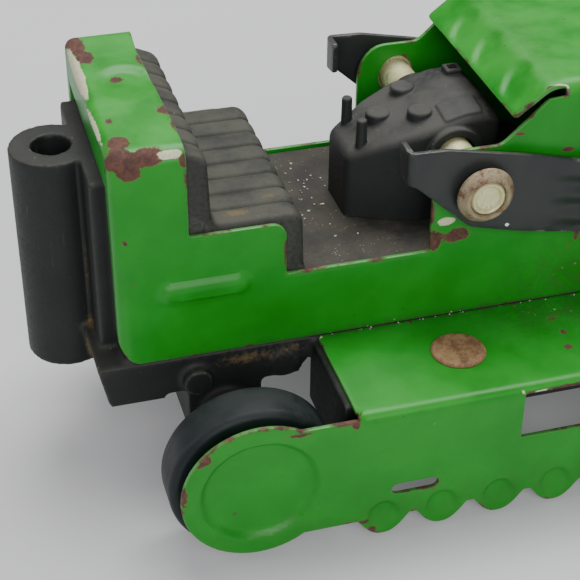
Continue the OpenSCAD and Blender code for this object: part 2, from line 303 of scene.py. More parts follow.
def edge_steps(thick):
    """How a sheared edge is rounded, as steps (way in from the edge, depth from the face)."""
    near = [(0.3 * EDGE_R, 0.3 * EDGE_R), (0, EDGE_R)]
    return near + [(0, thick - EDGE_R), (0.3 * EDGE_R, thick - 0.3 * EDGE_R)]


def sheet(name, loops, place, relief=None, thick=SHEET, step=0.9):
    """A pressed sheet. place(u, v) gives a point of its face and the way out of the face there."""
    relief = relief or (lambda u, v: 0)
    loops = [densify(loop, step) for loop in loops]
    ways = [inward_ways(loop, i > 0) for i, loop in enumerate(loops)]
    insets = [
        [tuple(Vector(p) + way * EDGE_R) for p, way in zip(loop, loop_ways)]
        for loop, loop_ways in zip(loops, ways)
    ]
    flat, triangles = fill(insets, step)
    points = []
    edge = list(distance_to(np.array(flat), np.array([p for loop in insets for p in loop])))
    for depth in (0, thick):
        for u, v in flat:
            at, out = place(u, v)
            points.append(at + out * (relief(u, v) - depth))
    count = len(flat)
    faces = list(triangles)
    faces += [tuple(count + i for i in reversed(t)) for t in triangles]
    edge += edge
    start = 0
    for loop, loop_ways in zip(loops, ways):
        rings = [[start + i for i in range(len(loop))]]
        for inset, depth in edge_steps(thick):
            ring = []
            for p, way in zip(loop, loop_ways):
                u, v = Vector(p) + way * inset
                at, out = place(u, v)
                ring.append(len(points))
                points.append(at + out * (relief(u, v) - depth))
                edge.append(-1)
            rings.append(ring)
        rings.append([count + start + i for i in range(len(loop))])
        for upper, lower in zip(rings, rings[1:]):
            for i in range(len(loop)):
                j = (i + 1) % len(loop)
                faces.append((upper[i], upper[j], lower[j], lower[i]))
        start += len(loop)
    obj = make(name, points, faces)
    put_layer(obj, "edge", edge)
    return obj


def lathe(name, profile, centre, axis="y", steps=64, closed=True):
    """A solid turned about y or z. profile is (radius, distance along the axis); radius 0 closes an end."""
    points = []
    faces = []
    rings = []
    for r, t in profile:
        turns = 1 if r == 0 else steps
        ring = []
        for k in range(turns):
            a = 2 * math.pi * k / steps
            across, up = r * math.cos(a), r * math.sin(a)
            offset = (across, t, up) if axis == "y" else (across, up, t)
            ring.append(len(points))
            points.append(tuple(c + o for c, o in zip(centre, offset)))
        rings.append(ring)
    pairs = list(zip(rings, rings[1:]))
    if closed:
        pairs.append((rings[-1], rings[0]))
    for a, b in pairs:
        if len(a) == 1 and len(b) == 1:
            continue
        for k in range(steps):
            j = (k + 1) % steps
            quad = [a[k % len(a)], a[j % len(a)], b[j % len(b)], b[k % len(b)]]
            unique = list(dict.fromkeys(quad))
            if len(unique) > 2:
                faces.append(tuple(unique))
    return make(name, points, faces)


def soften(profile, r=0.4, n=4):
    """Rounds the corners of an open or closed lathe profile by r."""
    out = []
    for i, p in enumerate(profile):
        before, after = profile[i - 1], profile[(i + 1) % len(profile)]
        corner = Vector(p)
        a, b = Vector(before) - corner, Vector(after) - corner
        if p[0] == 0 or a.length < 1e-6 or b.length < 1e-6 or abs(a.angle(b) - math.pi) < 0.2:
            out.append(p)
            continue
        cut = min(r, a.length * 0.45, b.length * 0.45)
        start, end = corner + a.normalized() * cut, corner + b.normalized() * cut
        for k in range(n + 1):
            t = k / n
            q = start * (1 - t) ** 2 + corner * 2 * t * (1 - t) + end * t ** 2
            out.append((max(0, q.x), q.y))
    return out


def slab(name, loop, top, bottom, round_r, step):
    """A block on a closed outline in x and y, with top(x, y) as its upper face and rounded upper edges."""
    loop = densify(loop, step)
    ways = inward_ways(loop, False)
    turns = [math.radians(a) for a in range(15, 91, 15)]
    bevel = [(round_r * (1 - math.sin(a)), round_r * (1 - math.cos(a))) for a in turns]
    inner = [tuple(Vector(p) + way * round_r) for p, way in zip(loop, ways)]
    flat, triangles = fill([inner], step)
    points = [(x, y, top(x, y)) for x, y in flat]
    faces = list(triangles)
    rings = [list(range(len(loop)))]
    for inset, drop in bevel:
        ring = []
        for p, way in zip(loop, ways):
            x, y = Vector(p) + way * inset
            ring.append(len(points))
            points.append((x, y, top(x, y) - drop))
        rings.append(ring)
    low = []
    for p, way in zip(loop, ways):
        low.append(len(points))
        points.append((p[0], p[1], bottom))
    rings.append(low)
    for upper, lower in zip(rings, rings[1:]):
        for i in range(len(loop)):
            j = (i + 1) % len(loop)
            faces.append((upper[i], upper[j], lower[j], lower[i]))
    faces.append(tuple(low))
    return make(name, points, faces)


def turned_pair(name, profile, soft, x, z, closed=True):
    """A turned piece and its twin on the other side of the middle plane, with corners softened by soft."""
    profile = soften(profile, soft)
    return [lathe(name, [(r, s * t) for r, t in profile], (x, 0, z), closed=closed) for s in (-1, 1)]


def join(name, parts):
    """Joins objects into one, with their layers."""
    bpy.ops.object.select_all(action="DESELECT")
    for part in parts:
        part.select_set(True)
    bpy.context.view_layer.objects.active = parts[0]
    if len(parts) > 1:
        bpy.ops.object.join()
    parts[0].name = name
    parts[0].data.name = name
    return parts[0]


def apply_modifiers(obj):
    bpy.context.view_layer.update()
    graph = bpy.context.evaluated_depsgraph_get()
    mesh = bpy.data.meshes.new_from_object(obj.evaluated_get(graph))
    old = obj.data
    obj.modifiers.clear()
    obj.data = mesh
    bpy.data.meshes.remove(old)
    return obj


def cut_away(obj, tools):
    """Cuts the shape of each tool out of an object, and removes the tools."""
    for tool in tools:
        cut = obj.modifiers.new("cut", "BOOLEAN")
        cut.operation = "DIFFERENCE"
        cut.object = tool
    apply_modifiers(obj)
    for tool in tools:
        bpy.data.objects.remove(tool)


def fuse(obj, voxel, passes):
    """Melts overlapping closed pieces into one moulding with softened edges."""
    remesh = obj.modifiers.new("remesh", "REMESH")
    remesh.mode = "VOXEL"
    remesh.voxel_size = voxel * MM
    even = obj.modifiers.new("even", "SMOOTH")
    even.factor = 0.5
    even.iterations = passes
    apply_modifiers(obj)
    smooth(obj, math.pi)
    return obj


def copy_node(name, node):
    """A new object with the shape of a CAD node."""
    mesh = frame["nodes"][node].data.copy()
    mesh.name = name
    mesh.materials.clear()
    return add_object(name, mesh)


def mirrored(name, obj):
    """The same piece on the other side of the middle plane."""
    mesh = obj.data.copy()
    mesh.transform(Matrix.Diagonal((1, -1, 1, 1)))
    mesh.flip_normals()
    return add_object(name, mesh)


def settle(obj, body, slot, material, *nodes):
    """Gives a piece its material and its body, and hides the CAD nodes that it stands for; its finish, the
    slot argument, is not used.
    """
    obj.data.materials.clear()
    obj.data.materials.append(material)
    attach(obj, body)
    if nodes:
        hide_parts(*nodes)
    return obj


def smoothstep(low, high, value):
    t = min(1, max(0, (value - low) / (high - low)))
    return t * t * (3 - 2 * t)


# ---------------------------------------------------------------------------
# Materials
# ---------------------------------------------------------------------------


class Finish:
    """A small helper for building one procedural material."""

    def __init__(self, name):
        self.material = bpy.data.materials.new(name)
        self.material.use_nodes = True
        self.tree = self.material.node_tree
        self.tree.nodes.clear()
        self.places = None

    def node(self, kind, inputs=None, **settings):
        made = self.tree.nodes.new(kind)
        for key, value in settings.items():
            setattr(made, key, value)
        for key, value in (inputs or {}).items():
            if isinstance(value, bpy.types.NodeSocket):
                self.tree.links.new(value, made.inputs[key])
            else:
                made.inputs[key].default_value = value
        return made

    def place(self):
        """The object's own coordinates, in millimetres."""
        if self.places is None:
            coordinates = self.node("ShaderNodeTexCoord")
            inputs = {0: coordinates.outputs["Object"], "Scale": 1 / MM}
            scaled = self.node("ShaderNodeVectorMath", inputs, operation="SCALE")
            self.places = scaled.outputs[0]
        return self.places

    def stretched(self, x, y, z):
        mapped = self.node("ShaderNodeMapping", {"Vector": self.place(), "Scale": (x, y, z)})
        return mapped.outputs[0]

    def noise(self, size, detail=3, rough=0.55, vector=None, warp=0):
        inputs = {"Vector": vector or self.place(), "Scale": 1 / size, "Detail": detail}
        inputs.update({"Roughness": rough, "Distortion": warp})
        return self.node("ShaderNodeTexNoise", inputs).outputs["Fac"]

    def specks(self, size, share):
        """Small round specks in a share of the cells."""
        cells = self.node("ShaderNodeTexVoronoi", {"Vector": self.place(), "Scale": 1 / size})
        near = self.step(cells.outputs["Distance"], 0.32, 0.16)
        split = self.node("ShaderNodeSeparateColor", {"Color": cells.outputs["Color"]})
        lucky = self.step(split.outputs[0], share, share - 0.02)
        return self.math("MULTIPLY", near, lucky)

    def layer(self, name):
        return self.node("ShaderNodeAttribute", attribute_name=name).outputs["Fac"]

    def step(self, value, low, high, to_low=0.0, to_high=1.0):
        made = self.node(
            "ShaderNodeMapRange",
            {"Value": value, "From Min": low, "From Max": high, "To Min": to_low, "To Max": to_high},
            interpolation_type="SMOOTHSTEP",
        )
        return made.outputs[0]

    def math(self, operation, a, b=0.0, clamp=False):
        return self.node("ShaderNodeMath", {0: a, 1: b}, operation=operation, use_clamp=clamp).outputs[0]

    def add(self, a, b):
        return self.math("ADD", a, b)

    def times(self, a, b):
        return self.math("MULTIPLY", a, b)

    def most(self, a, b):
        return self.math("MAXIMUM", a, b)

    def mix(self, factor, a, b):
        made = self.node("ShaderNodeMix", data_type="RGBA")
        for index, value in ((0, factor), (6, a), (7, b)):
            if isinstance(value, bpy.types.NodeSocket):
                self.tree.links.new(value, made.inputs[index])
            elif index:
                made.inputs[index].default_value = (*value, 1)
            else:
                made.inputs[index].default_value = value
        return made.outputs[2]

    def blend(self, factor, a, b):
        """A number that goes from a to b."""
        made = self.node("ShaderNodeMix", {0: factor, 2: a, 3: b}, data_type="FLOAT")
        return made.outputs[0]

    def upward(self):
        """How far the surface faces up, from 0 to 1."""
        normal = self.node("ShaderNodeNewGeometry").outputs["Normal"]
        split = self.node("ShaderNodeSeparateXYZ", {0: normal})
        return self.step(split.outputs[2], 0.1, 0.95)

    def crease(self):
        return self.node("ShaderNodeNewGeometry").outputs["Pointiness"]

    def bump(self, height, distance, strength=1.0, under=None):
        inputs = {"Height": height, "Distance": distance * MM, "Strength": strength}
        if under:
            inputs["Normal"] = under
        return self.node("ShaderNodeBump", inputs).outputs[0]

    def close(self, color, roughness, normal=None, metallic=0.0, **constants):
        inputs = {"Base Color": color, "Roughness": roughness, "Metallic": metallic}
        if normal:
            inputs["Normal"] = normal
        shader = self.node("ShaderNodeBsdfPrincipled", inputs)
        for key, value in constants.items():
            shader.inputs[key.replace("_", " ").title().replace("Ior", "IOR")].default_value = value
        output = self.node("ShaderNodeOutputMaterial")
        self.tree.links.new(shader.outputs[0], output.inputs[0])
        return self.material


GREEN = (0.008, 0.245, 0.010)
GREEN_DEEP = (0.002, 0.20, 0.004)
# Paler green for upper faces: partly dust, partly painted top light.
GREEN_DUST_AND_TOP_LIGHT = (0.050, 0.33, 0.040)
MAROON = (0.060, 0.026, 0.022)
RUST_BROWN = (0.125, 0.054, 0.035)
RUST_TAN = (0.30, 0.175, 0.085)
CREAM = (0.62, 0.60, 0.42)
DUST = (0.052, 0.050, 0.043)


def enamel():
    """Green stoving enamel with chips, rusted patches, bare bent edges, specks, and paler upper faces: a film
    of dust plus a painted top light that grows with height.
    """
    f = Finish("worn_green_enamel")
    large = f.noise(9, 4, 0.6)
    medium = f.noise(1.9, 5, 0.62, warp=0.3)
    fine = f.noise(0.42, 4, 0.6)
    paint = f.mix(f.step(large, 0.3, 0.7), GREEN_DEEP, GREEN)
    # Upward faces turn paler in noisy patches as dust. Higher faces are painted paler still, as painted top
    # light.
    height_now = f.node("ShaderNodeSeparateXYZ", {0: f.place()}).outputs[2]
    top_light_by_height = f.step(height_now, DECK + 8, DECK + 28, 0.15, 0.6)
    paint = f.mix(f.times(f.times(f.upward(), f.step(large, 0.3, 0.7)), top_light_by_height), paint, GREEN_DUST_AND_TOP_LIGHT)
    coarse_rag = f.times(f.math("SUBTRACT", medium, 0.5), 0.9)
    ragged = f.add(coarse_rag, f.times(f.math("SUBTRACT", fine, 0.5), 0.35))
    rust = f.step(f.add(f.layer("rust"), ragged), 0.47, 0.55)
    halo = f.step(f.add(f.layer("rust"), ragged), 0.34, 0.5)
    bare = f.step(f.add(f.layer("bare"), f.times(ragged, 0.7)), 0.45, 0.56)
    edge = f.layer("edge")
    raw = f.step(edge, -0.2, -0.6)
    along = f.noise(4.5, 3, 0.6)
    chipped = f.times(f.step(edge, 0.55, 0.0), f.step(f.add(along, f.times(fine, 0.3)), 0.72, 0.8))
    freckles = f.most(f.specks(1.5, 0.014), f.specks(0.8, 0.012))
    dirty = f.layer("dirt")
    smudge = f.times(dirty, f.step(f.add(medium, f.times(fine, 0.4)), 0.55, 0.8))
    crumbs = f.times(f.specks(0.75, 0.3), f.step(dirty, 0.55, 0.9))
    rusty = f.mix(f.step(f.add(medium, f.times(fine, 0.5)), 0.6, 0.95), MAROON, RUST_BROWN)
    raw_rust = f.step(f.add(along, f.times(fine, 0.25)), 0.6, 0.76)
    raw_color = f.mix(raw_rust, (0.05, 0.25, 0.04), rusty)
    color = f.mix(f.times(halo, 0.55), paint, (0.10, 0.13, 0.03))
    color = f.mix(f.times(smudge, 0.55), color, (0.05, 0.075, 0.02))
    color = f.mix(freckles, color, (0.05, 0.05, 0.02))
    color = f.mix(rust, color, rusty)
    color = f.mix(bare, color, f.mix(f.step(fine, 0.3, 0.7), CREAM, (0.47, 0.44, 0.30)))
    color = f.mix(chipped, color, rusty)
    color = f.mix(raw, color, raw_color)
    color = f.mix(f.times(crumbs, 0.9), color, (0.62, 0.66, 0.48))
    worn = f.most(f.most(rust, f.times(raw, raw_rust)), f.times(smudge, 0.5))
    rough = f.blend(worn, f.step(large, 0.2, 0.8, 0.33, 0.42), 0.8)
    rough = f.blend(bare, rough, 0.48)
    height = f.add(f.times(f.noise(2.2, 2), 0.3), f.times(f.noise(14, 2), 0.8))
    skin = f.bump(height, 0.05, 0.4)
    pitted = f.add(f.times(rust, -0.7), f.times(f.times(rust, fine), 0.7))
    normal = f.bump(f.add(pitted, f.times(freckles, -0.3)), 0.14, 0.8, skin)
    return f.close(color, rough, normal, specular_ior_level=0.36)


def moulded(name, dark, dusty, dust_share=0.5, rough=0.52, grit=0.25, stains=False):
    """Charcoal moulded plastic with dust on its upper faces and in its corners, and paler rubbed edges."""
    f = Finish(name)
    large = f.noise(7, 4, 0.6)
    fine = f.noise(0.6, 5, 0.65)
    corner = f.step(f.crease(), 0.5, 0.44)
    ridge = f.step(f.crease(), 0.52, 0.58)
    settled = f.times(f.upward(), f.step(f.add(large, f.times(fine, 0.4)), 0.45, 0.85))
    dust = f.times(f.most(settled, f.times(corner, 0.5)), dust_share)
    dust = f.most(dust, f.times(f.layer("dust"), f.step(fine, 0.35, 0.6)))
    color = f.mix(f.step(large, 0.3, 0.7), dark, tuple(c * 1.35 for c in dark))
    color = f.mix(dust, color, dusty)
    color = f.mix(f.times(ridge, f.step(fine, 0.35, 0.65, 0.1, 0.5)), color, (0.12, 0.115, 0.10))
    scuffs = f.noise(0.9, 3, 0.6, f.stretched(1, 1, 0.12), warp=0.4)
    color = f.mix(f.times(f.step(scuffs, 0.66, 0.74), 0.2), color, (0.10, 0.10, 0.093))
    white = f.times(f.specks(0.45, grit * 0.3), f.step(large, 0.45, 0.6))
    color = f.mix(f.times(white, f.step(f.upward(), 0.3, 0.8, 0.1, 0.8)), color, (0.26, 0.25, 0.20))
    if stains:
        ochre = f.step(f.add(f.layer("ochre"), f.times(f.math("SUBTRACT", fine, 0.5), 0.8)), 0.4, 0.75)
        color = f.mix(f.times(ochre, 0.75), color, (0.15, 0.105, 0.045))
    rough_now = f.blend(dust, f.step(fine, 0.3, 0.7, rough - 0.07, rough + 0.06), 0.85)
    grain = f.add(f.times(fine, 0.6), f.times(f.noise(0.25, 2), 0.4))
    normal = f.bump(grain, 0.06, 0.5)
    normal = f.bump(f.add(dust, f.times(white, 0.8)), 0.08, 0.5, normal)
    return f.close(color, rough_now, normal, specular_ior_level=0.3)


def satin_black():
    """Satin black stoved paint on the lift arms, with a few chips on the edges."""
    f = Finish("satin_black_paint")
    large = f.noise(8, 4)
    fine = f.noise(0.5, 4, 0.6)
    edge = f.layer("edge")
    raw = f.step(edge, -0.2, -0.6)
    worn = f.times(f.most(raw, f.step(edge, 0.3, 0.0)), f.step(f.noise(2.4, 4), 0.58, 0.68))
    bare = f.step(f.layer("bare"), 0.45, 0.55)
    color = f.mix(f.step(large, 0.3, 0.7), (0.018, 0.021, 0.021), (0.028, 0.031, 0.030))
    film = f.times(f.upward(), f.step(f.add(large, f.times(fine, 0.4)), 0.5, 0.9))
    color = f.mix(film, color, (0.07, 0.066, 0.056))
    color = f.mix(f.times(worn, 0.6), color, (0.17, 0.16, 0.14))
    color = f.mix(bare, color, (0.85, 0.85, 0.82))
    rough = f.blend(worn, f.step(large, 0.2, 0.8, 0.36, 0.44), 0.6)
    normal = f.bump(f.add(f.noise(1.6, 2), f.times(fine, 0.25)), 0.03, 0.5)
    return f.close(color, rough, normal, specular_ior_level=0.4)


def rusted_steel(name, low, high, size=1.0):
    """Steel whose plating has gone to tan and brown rust."""
    f = Finish(name)
    large = f.noise(3.2 * size, 4, 0.6)
    fine = f.noise(0.5 * size, 5, 0.66)
    spots = f.step(f.add(large, f.times(fine, 0.6)), 0.78, 0.95)
    color = f.mix(f.step(f.add(large, f.times(fine, 0.4)), 0.5, 0.85), low, high)
    color = f.mix(f.times(spots, 0.8), color, (0.13, 0.055, 0.025))
    color = f.mix(f.step(f.crease(), 0.53, 0.6, 0, 0.5), color, (0.42, 0.30, 0.18))
    color = f.mix(f.step(f.layer("dark"), 0.3, 0.8), color, (0.07, 0.04, 0.025))
    normal = f.bump(f.add(fine, f.times(large, 0.5)), 0.08, 0.6)
    return f.close(color, f.step(fine, 0.3, 0.7, 0.5, 0.75), normal, metallic=0.25)


def zinc():
    """Yellowed zinc plating."""
    f = Finish("yellowed_zinc")
    large = f.noise(2.4, 4, 0.6)
    fine = f.noise(0.35, 4, 0.6)
    color = f.mix(f.step(large, 0.35, 0.7), (0.58, 0.55, 0.27), (0.72, 0.70, 0.46))
    color = f.mix(f.step(f.add(large, f.times(fine, 0.7)), 0.92, 1.08, 0, 0.7), color, (0.30, 0.22, 0.10))
    color = f.mix(f.step(f.layer("dark"), 0.3, 0.8), color, (0.20, 0.17, 0.08))
    normal = f.bump(fine, 0.05, 0.5)
    return f.close(color, f.step(fine, 0.3, 0.7, 0.38, 0.55), normal, metallic=0.35)


def wheel_black():
    """Dark blue-grey moulded wheel, semi-gloss, with fine scratches round it and dust on its upper faces."""
    f = Finish("wheel_plastic_dark")
    large = f.noise(6, 3)
    fine = f.noise(0.5, 4, 0.6)
    scratch = f.noise(1.1, 3, 0.7, f.stretched(0.25, 1.6, 0.25))
    dust = f.times(f.upward(), f.step(f.add(large, f.times(fine, 0.5)), 0.6, 1.0))
    color = f.mix(f.step(large, 0.3, 0.7), (0.006, 0.009, 0.0105), (0.011, 0.015, 0.017))
    color = f.mix(f.times(dust, 0.2), color, (0.06, 0.06, 0.054))
    rough = f.blend(dust, f.step(scratch, 0.35, 0.65, 0.38, 0.5), 0.7)
    normal = f.bump(f.add(scratch, f.times(fine, 0.4)), 0.03, 0.5)
    return f.close(color, rough, normal, specular_ior_level=0.24)


GREEN_MAT = enamel()
PLASTIC = moulded("dusty_black_plastic", (0.010, 0.0115, 0.011), DUST, 0.45, 0.55, 0.15, stains=True)
SEAT_MAT = moulded(
    "dusty_seat_plastic", (0.019, 0.020, 0.018), (0.088, 0.086, 0.066), 0.7, 0.6, 0.15, stains=True)
CONSOLE_MAT = moulded(
    "dusty_console_plastic", (0.016, 0.017, 0.017), (0.078, 0.075, 0.066), 0.7, 0.55, 0.15)
FLOOR_MAT = moulded("gritty_floor_plastic", (0.017, 0.016, 0.014), (0.062, 0.056, 0.044), 0.85, 0.65, 0.7)
ARM_MAT = satin_black()
RIVET_MAT = rusted_steel("rusted_rivet", RUST_TAN, (0.19, 0.10, 0.045), 0.55)
CAP_MAT = rusted_steel("tarnished_cap", (0.33, 0.27, 0.17), (0.20, 0.145, 0.085), 0.8)
ZINC = zinc()
WHEEL_MAT = wheel_black()

# ---------------------------------------------------------------------------
# Pressed body
# ---------------------------------------------------------------------------

STRIP_Z = 36.4
STRIP_FRONT = -5.0
REST_Z = 21.7
REST_FRONT = 9.9
RAIL_Z = 12.6
EAR_REAR = 33.0
EAR_FRONT = 43.6
EAR_Z = 29.9
HOOD_REAR = 51.0
FOLD_R = 2.5
REAR_R = 1.5
RISE_L = 9.0
STRIP_BEND = 2.0
SIDE_LIP = 3.6
STRIP_LIP = 6.6
FLAP_R = 5.0
FLAP_LOW = (45.1, 34.3)
TOP_FLAT = BODY_Y - FOLD_R
FOLD_L = FOLD_R * math.pi / 2
FLAP_ANGLE = math.atan2(HOOD_Z - FLAP_LOW[1], HOOD_REAR - FLAP_LOW[0])
FLAP_TANGENT = FLAP_R * math.tan(FLAP_ANGLE / 2)
FLAP_START = HOOD_REAR + FLAP_TANGENT
FLAP_L = math.dist(FLAP_LOW, (HOOD_REAR, HOOD_Z)) - FLAP_TANGENT + FLAP_R * FLAP_ANGLE
FLAP_Y = BODY_Y - 0.5


def body_rise(u):
    """How much higher the body's upper face stands along its length than at the strip."""
    return (HOOD_Z - STRIP_Z) * smoothstep(0, 44, u)


def wall_v(u, z):
    """How far out on the unfolded body a point of the side wall lies."""
    share = body_rise(u) / RISE_L
    drop = STRIP_Z - z
    if drop < FOLD_R + RISE_L:
        drop = (drop + share * (FOLD_R + RISE_L)) / (1 + share)
    return TOP_FLAT + FOLD_L + drop - FOLD_R


def across_body(v):
    """The body's cross-section: (y, drop below the top, way out in y and z)."""
    side = math.copysign(1, v)
    s = abs(v)
    if s < TOP_FLAT:
        return v, 0.0, (0.0, 1.0)
    if s < TOP_FLAT + FOLD_L:
        a = (s - TOP_FLAT) / FOLD_R
        y = side * (TOP_FLAT + FOLD_R * math.sin(a))
        return y, FOLD_R * (1 - math.cos(a)), (side * math.sin(a), math.cos(a))
    return side * BODY_Y, s - TOP_FLAT - FOLD_L + FOLD_R, (side, 0.0)


def body_height(u, y, drop):
    """Height of the folded body. The strip at the rear is bent up a little towards its far side."""
    fade = 1 - min(1, max(0, (drop - FOLD_R) / RISE_L))
    bent = STRIP_BEND * max(0, (y + BODY_Y) / (2 * BODY_Y)) ** 1.5 * (1 - smoothstep(-3, 9, u))
    return STRIP_Z - drop + (body_rise(u) + bent) * fade


def flap_place(u):
    """Side view of the hood and of the flap that bends down behind it: (x, z, way out in x and z)."""
    back = FLAP_START - u
    if back <= 0:
        return u, HOOD_Z, (0.0, 1.0)
    turned = min(back / FLAP_R, FLAP_ANGLE)
    x = FLAP_START - FLAP_R * math.sin(turned)
    z = HOOD_Z - FLAP_R * (1 - math.cos(turned))
    rest = max(0, back - FLAP_R * FLAP_ANGLE)
    x -= rest * math.cos(FLAP_ANGLE)
    z -= rest * math.sin(FLAP_ANGLE)
    return x, z, (-math.sin(turned), math.cos(turned))


def body_place(u, v):
    """Folds the flat blank of the body: its side walls, the flap, and the lip round its rear edge."""
    y, drop, (out_y, out_z) = across_body(v)
    folded = Vector((u, y, body_height(u, y, drop)))
    out = Vector((0, out_y, out_z))
    on_flap = 1 - smoothstep(HOOD_REAR - 0.3, FLAP_START + 1.4, u)
    if on_flap > 0 and abs(v) < FLAP_Y + 0.35 and u > EAR_REAR:
        x, z, (out_x, up) = flap_place(u)
        flap = Vector((x, math.copysign(min(abs(v), FLAP_Y + 0.3), v), z))
        folded = folded.lerp(flap, on_flap)
        out = out.lerp(Vector((out_x, 0, up)), on_flap).normalized()
        return folded, out
    if HOOD_REAR < u < FLAP_START + 2:
        folded.z = min(folded.z, HOOD_Z)
    back = BODY_REAR + REAR_R - u
    if back <= 0:
        return folded, out
    turned = min(back / REAR_R, math.pi / 2)
    straight = max(0, back - REAR_R * math.pi / 2)
    folded.x = BODY_REAR + REAR_R - REAR_R * math.sin(turned)
    folded -= out * (REAR_R * (1 - math.cos(turned)) + straight)
    return folded, out * math.cos(turned) - Vector((math.sin(turned), 0, 0))


def capsule(u, v, a, b, r):
    """How deep a point is inside a round-ended bar from a to b: 1 on its middle line, 0 outside."""
    p, start, end = Vector((u, v)), Vector(a), Vector(b)
    along = end - start
    t = min(1, max(0, (p - start).dot(along) / along.length_squared))
    return max(0, 1 - (p - start - along * t).length / r)


BEAD = ((-8.0, 12.2), (2.4, 12.2))
BEAD_R = 2.1
DARTS = ((47.6, -11.6), (47.4, -0.4), (47.0, 8.6))


def body_relief(u, v):
    """The bead on each side wall, the dimple in the strip and the darts across the flap's bend."""
    height = 0
    if abs(v) > TOP_FLAT + FOLD_L and u < EAR_REAR:
        z = STRIP_Z - (abs(v) - TOP_FLAT - FOLD_L) - FOLD_R
        height += BEAD_H * 1.3 * smoothstep(0, 0.55, capsule(u, z, *BEAD, BEAD_R))
    if u < 0 and abs(v) < TOP_FLAT:
        bowl = math.hypot((u + 9.6) / 4.6, (v - 2.0) / 5.2)
        rim = smoothstep(1.0, 0.74, bowl) * smoothstep(-4.5, 5.5, v + 0.25 * (u + 9.6))
        height -= 0.5 * rim
    if EAR_REAR < u < FLAP_START + 6 and abs(v) < TOP_FLAT:
        for du, dv in DARTS:
            across = v - dv - (u - du) * 0.5
            bowl = math.hypot((u - du) / 3.6, across / 3.2)
            height -= 0.55 * smoothstep(1.0, 0.6, bowl) * smoothstep(-3.6, 2.4, across)
    return height


def side_points(strip_front):
    """The cab opening's outline on one side, from the flap to the strip, unfolded."""
    flap_end = FLAP_START - FLAP_L
    slit = HOOD_REAR + 2.4
    rail = [(u, wall_v(u, RAIL_Z), 0) for u in (28, 21, 15)]
    return [
        (flap_end, FLAP_Y, 0.9),
        (slit, FLAP_Y, 0.25),
        (slit, wall_v(slit, HOOD_Z - 1.7), 0.25),
        (HOOD_REAR - 0.2, wall_v(HOOD_REAR, HOOD_Z - 2.0), 0.5),
        (EAR_FRONT, wall_v(EAR_FRONT, EAR_Z), 3.0),
        (EAR_REAR, wall_v(EAR_REAR, EAR_Z), 4.6),
        (EAR_REAR, wall_v(EAR_REAR, RAIL_Z), 0.7),
        *rail,
        (REST_FRONT, wall_v(REST_FRONT, RAIL_Z), 0.6),
        (REST_FRONT, wall_v(REST_FRONT, REST_Z), 2.3),
        (STRIP_FRONT, wall_v(STRIP_FRONT, REST_Z), 0.6),
        (strip_front, 0.7 * TOP_FLAT, 0),
    ]


def body_blank():
    """Outlines of the unfolded body: its edge, the cab opening and the two pivot holes."""
    lip_u = BODY_REAR + REAR_R - REAR_R * math.pi / 2
    side_u = lip_u - (SIDE_LIP - REAR_R)
    strip_u = lip_u - (STRIP_LIP - REAR_R)
    low = wall_v(BODY_REAR, 0)
    high = wall_v(BODY_REAR, STRIP_Z - FOLD_R - 1.2)
    foot = [(u, wall_v(u, 0), 0) for u in range(int(HOOD_FRONT) - 4, -8, -6)]
    one_side = [
        (HOOD_FRONT, wall_v(HOOD_FRONT, 0), 0),
        *foot,
        (-14.2, wall_v(-13.4, 0), 2.6),
        (side_u + 1.2, low - 5.5, 2.4),
        (side_u, high + 1.6, 0.8),
        (lip_u - 0.3, TOP_FLAT + FOLD_L * 0.9, 0.4),
        (lip_u - 0.3, TOP_FLAT + FOLD_L * 0.3, 0.4),
        (strip_u, TOP_FLAT - 1.2, 1.2),
    ]
    outer = one_side + [(u, -v, r) for u, v, r in reversed(one_side)]
    opening = side_points(STRIP_FRONT - 1)
    opening += [(u, -v, r) for u, v, r in reversed(side_points(STRIP_FRONT))]
    holes = [circle(LIFT_X, s * wall_v(LIFT_X, LIFT_Z), ROD_R + 0.35) for s in (-1, 1)]
    return [rounded(outer), rounded(opening)] + holes


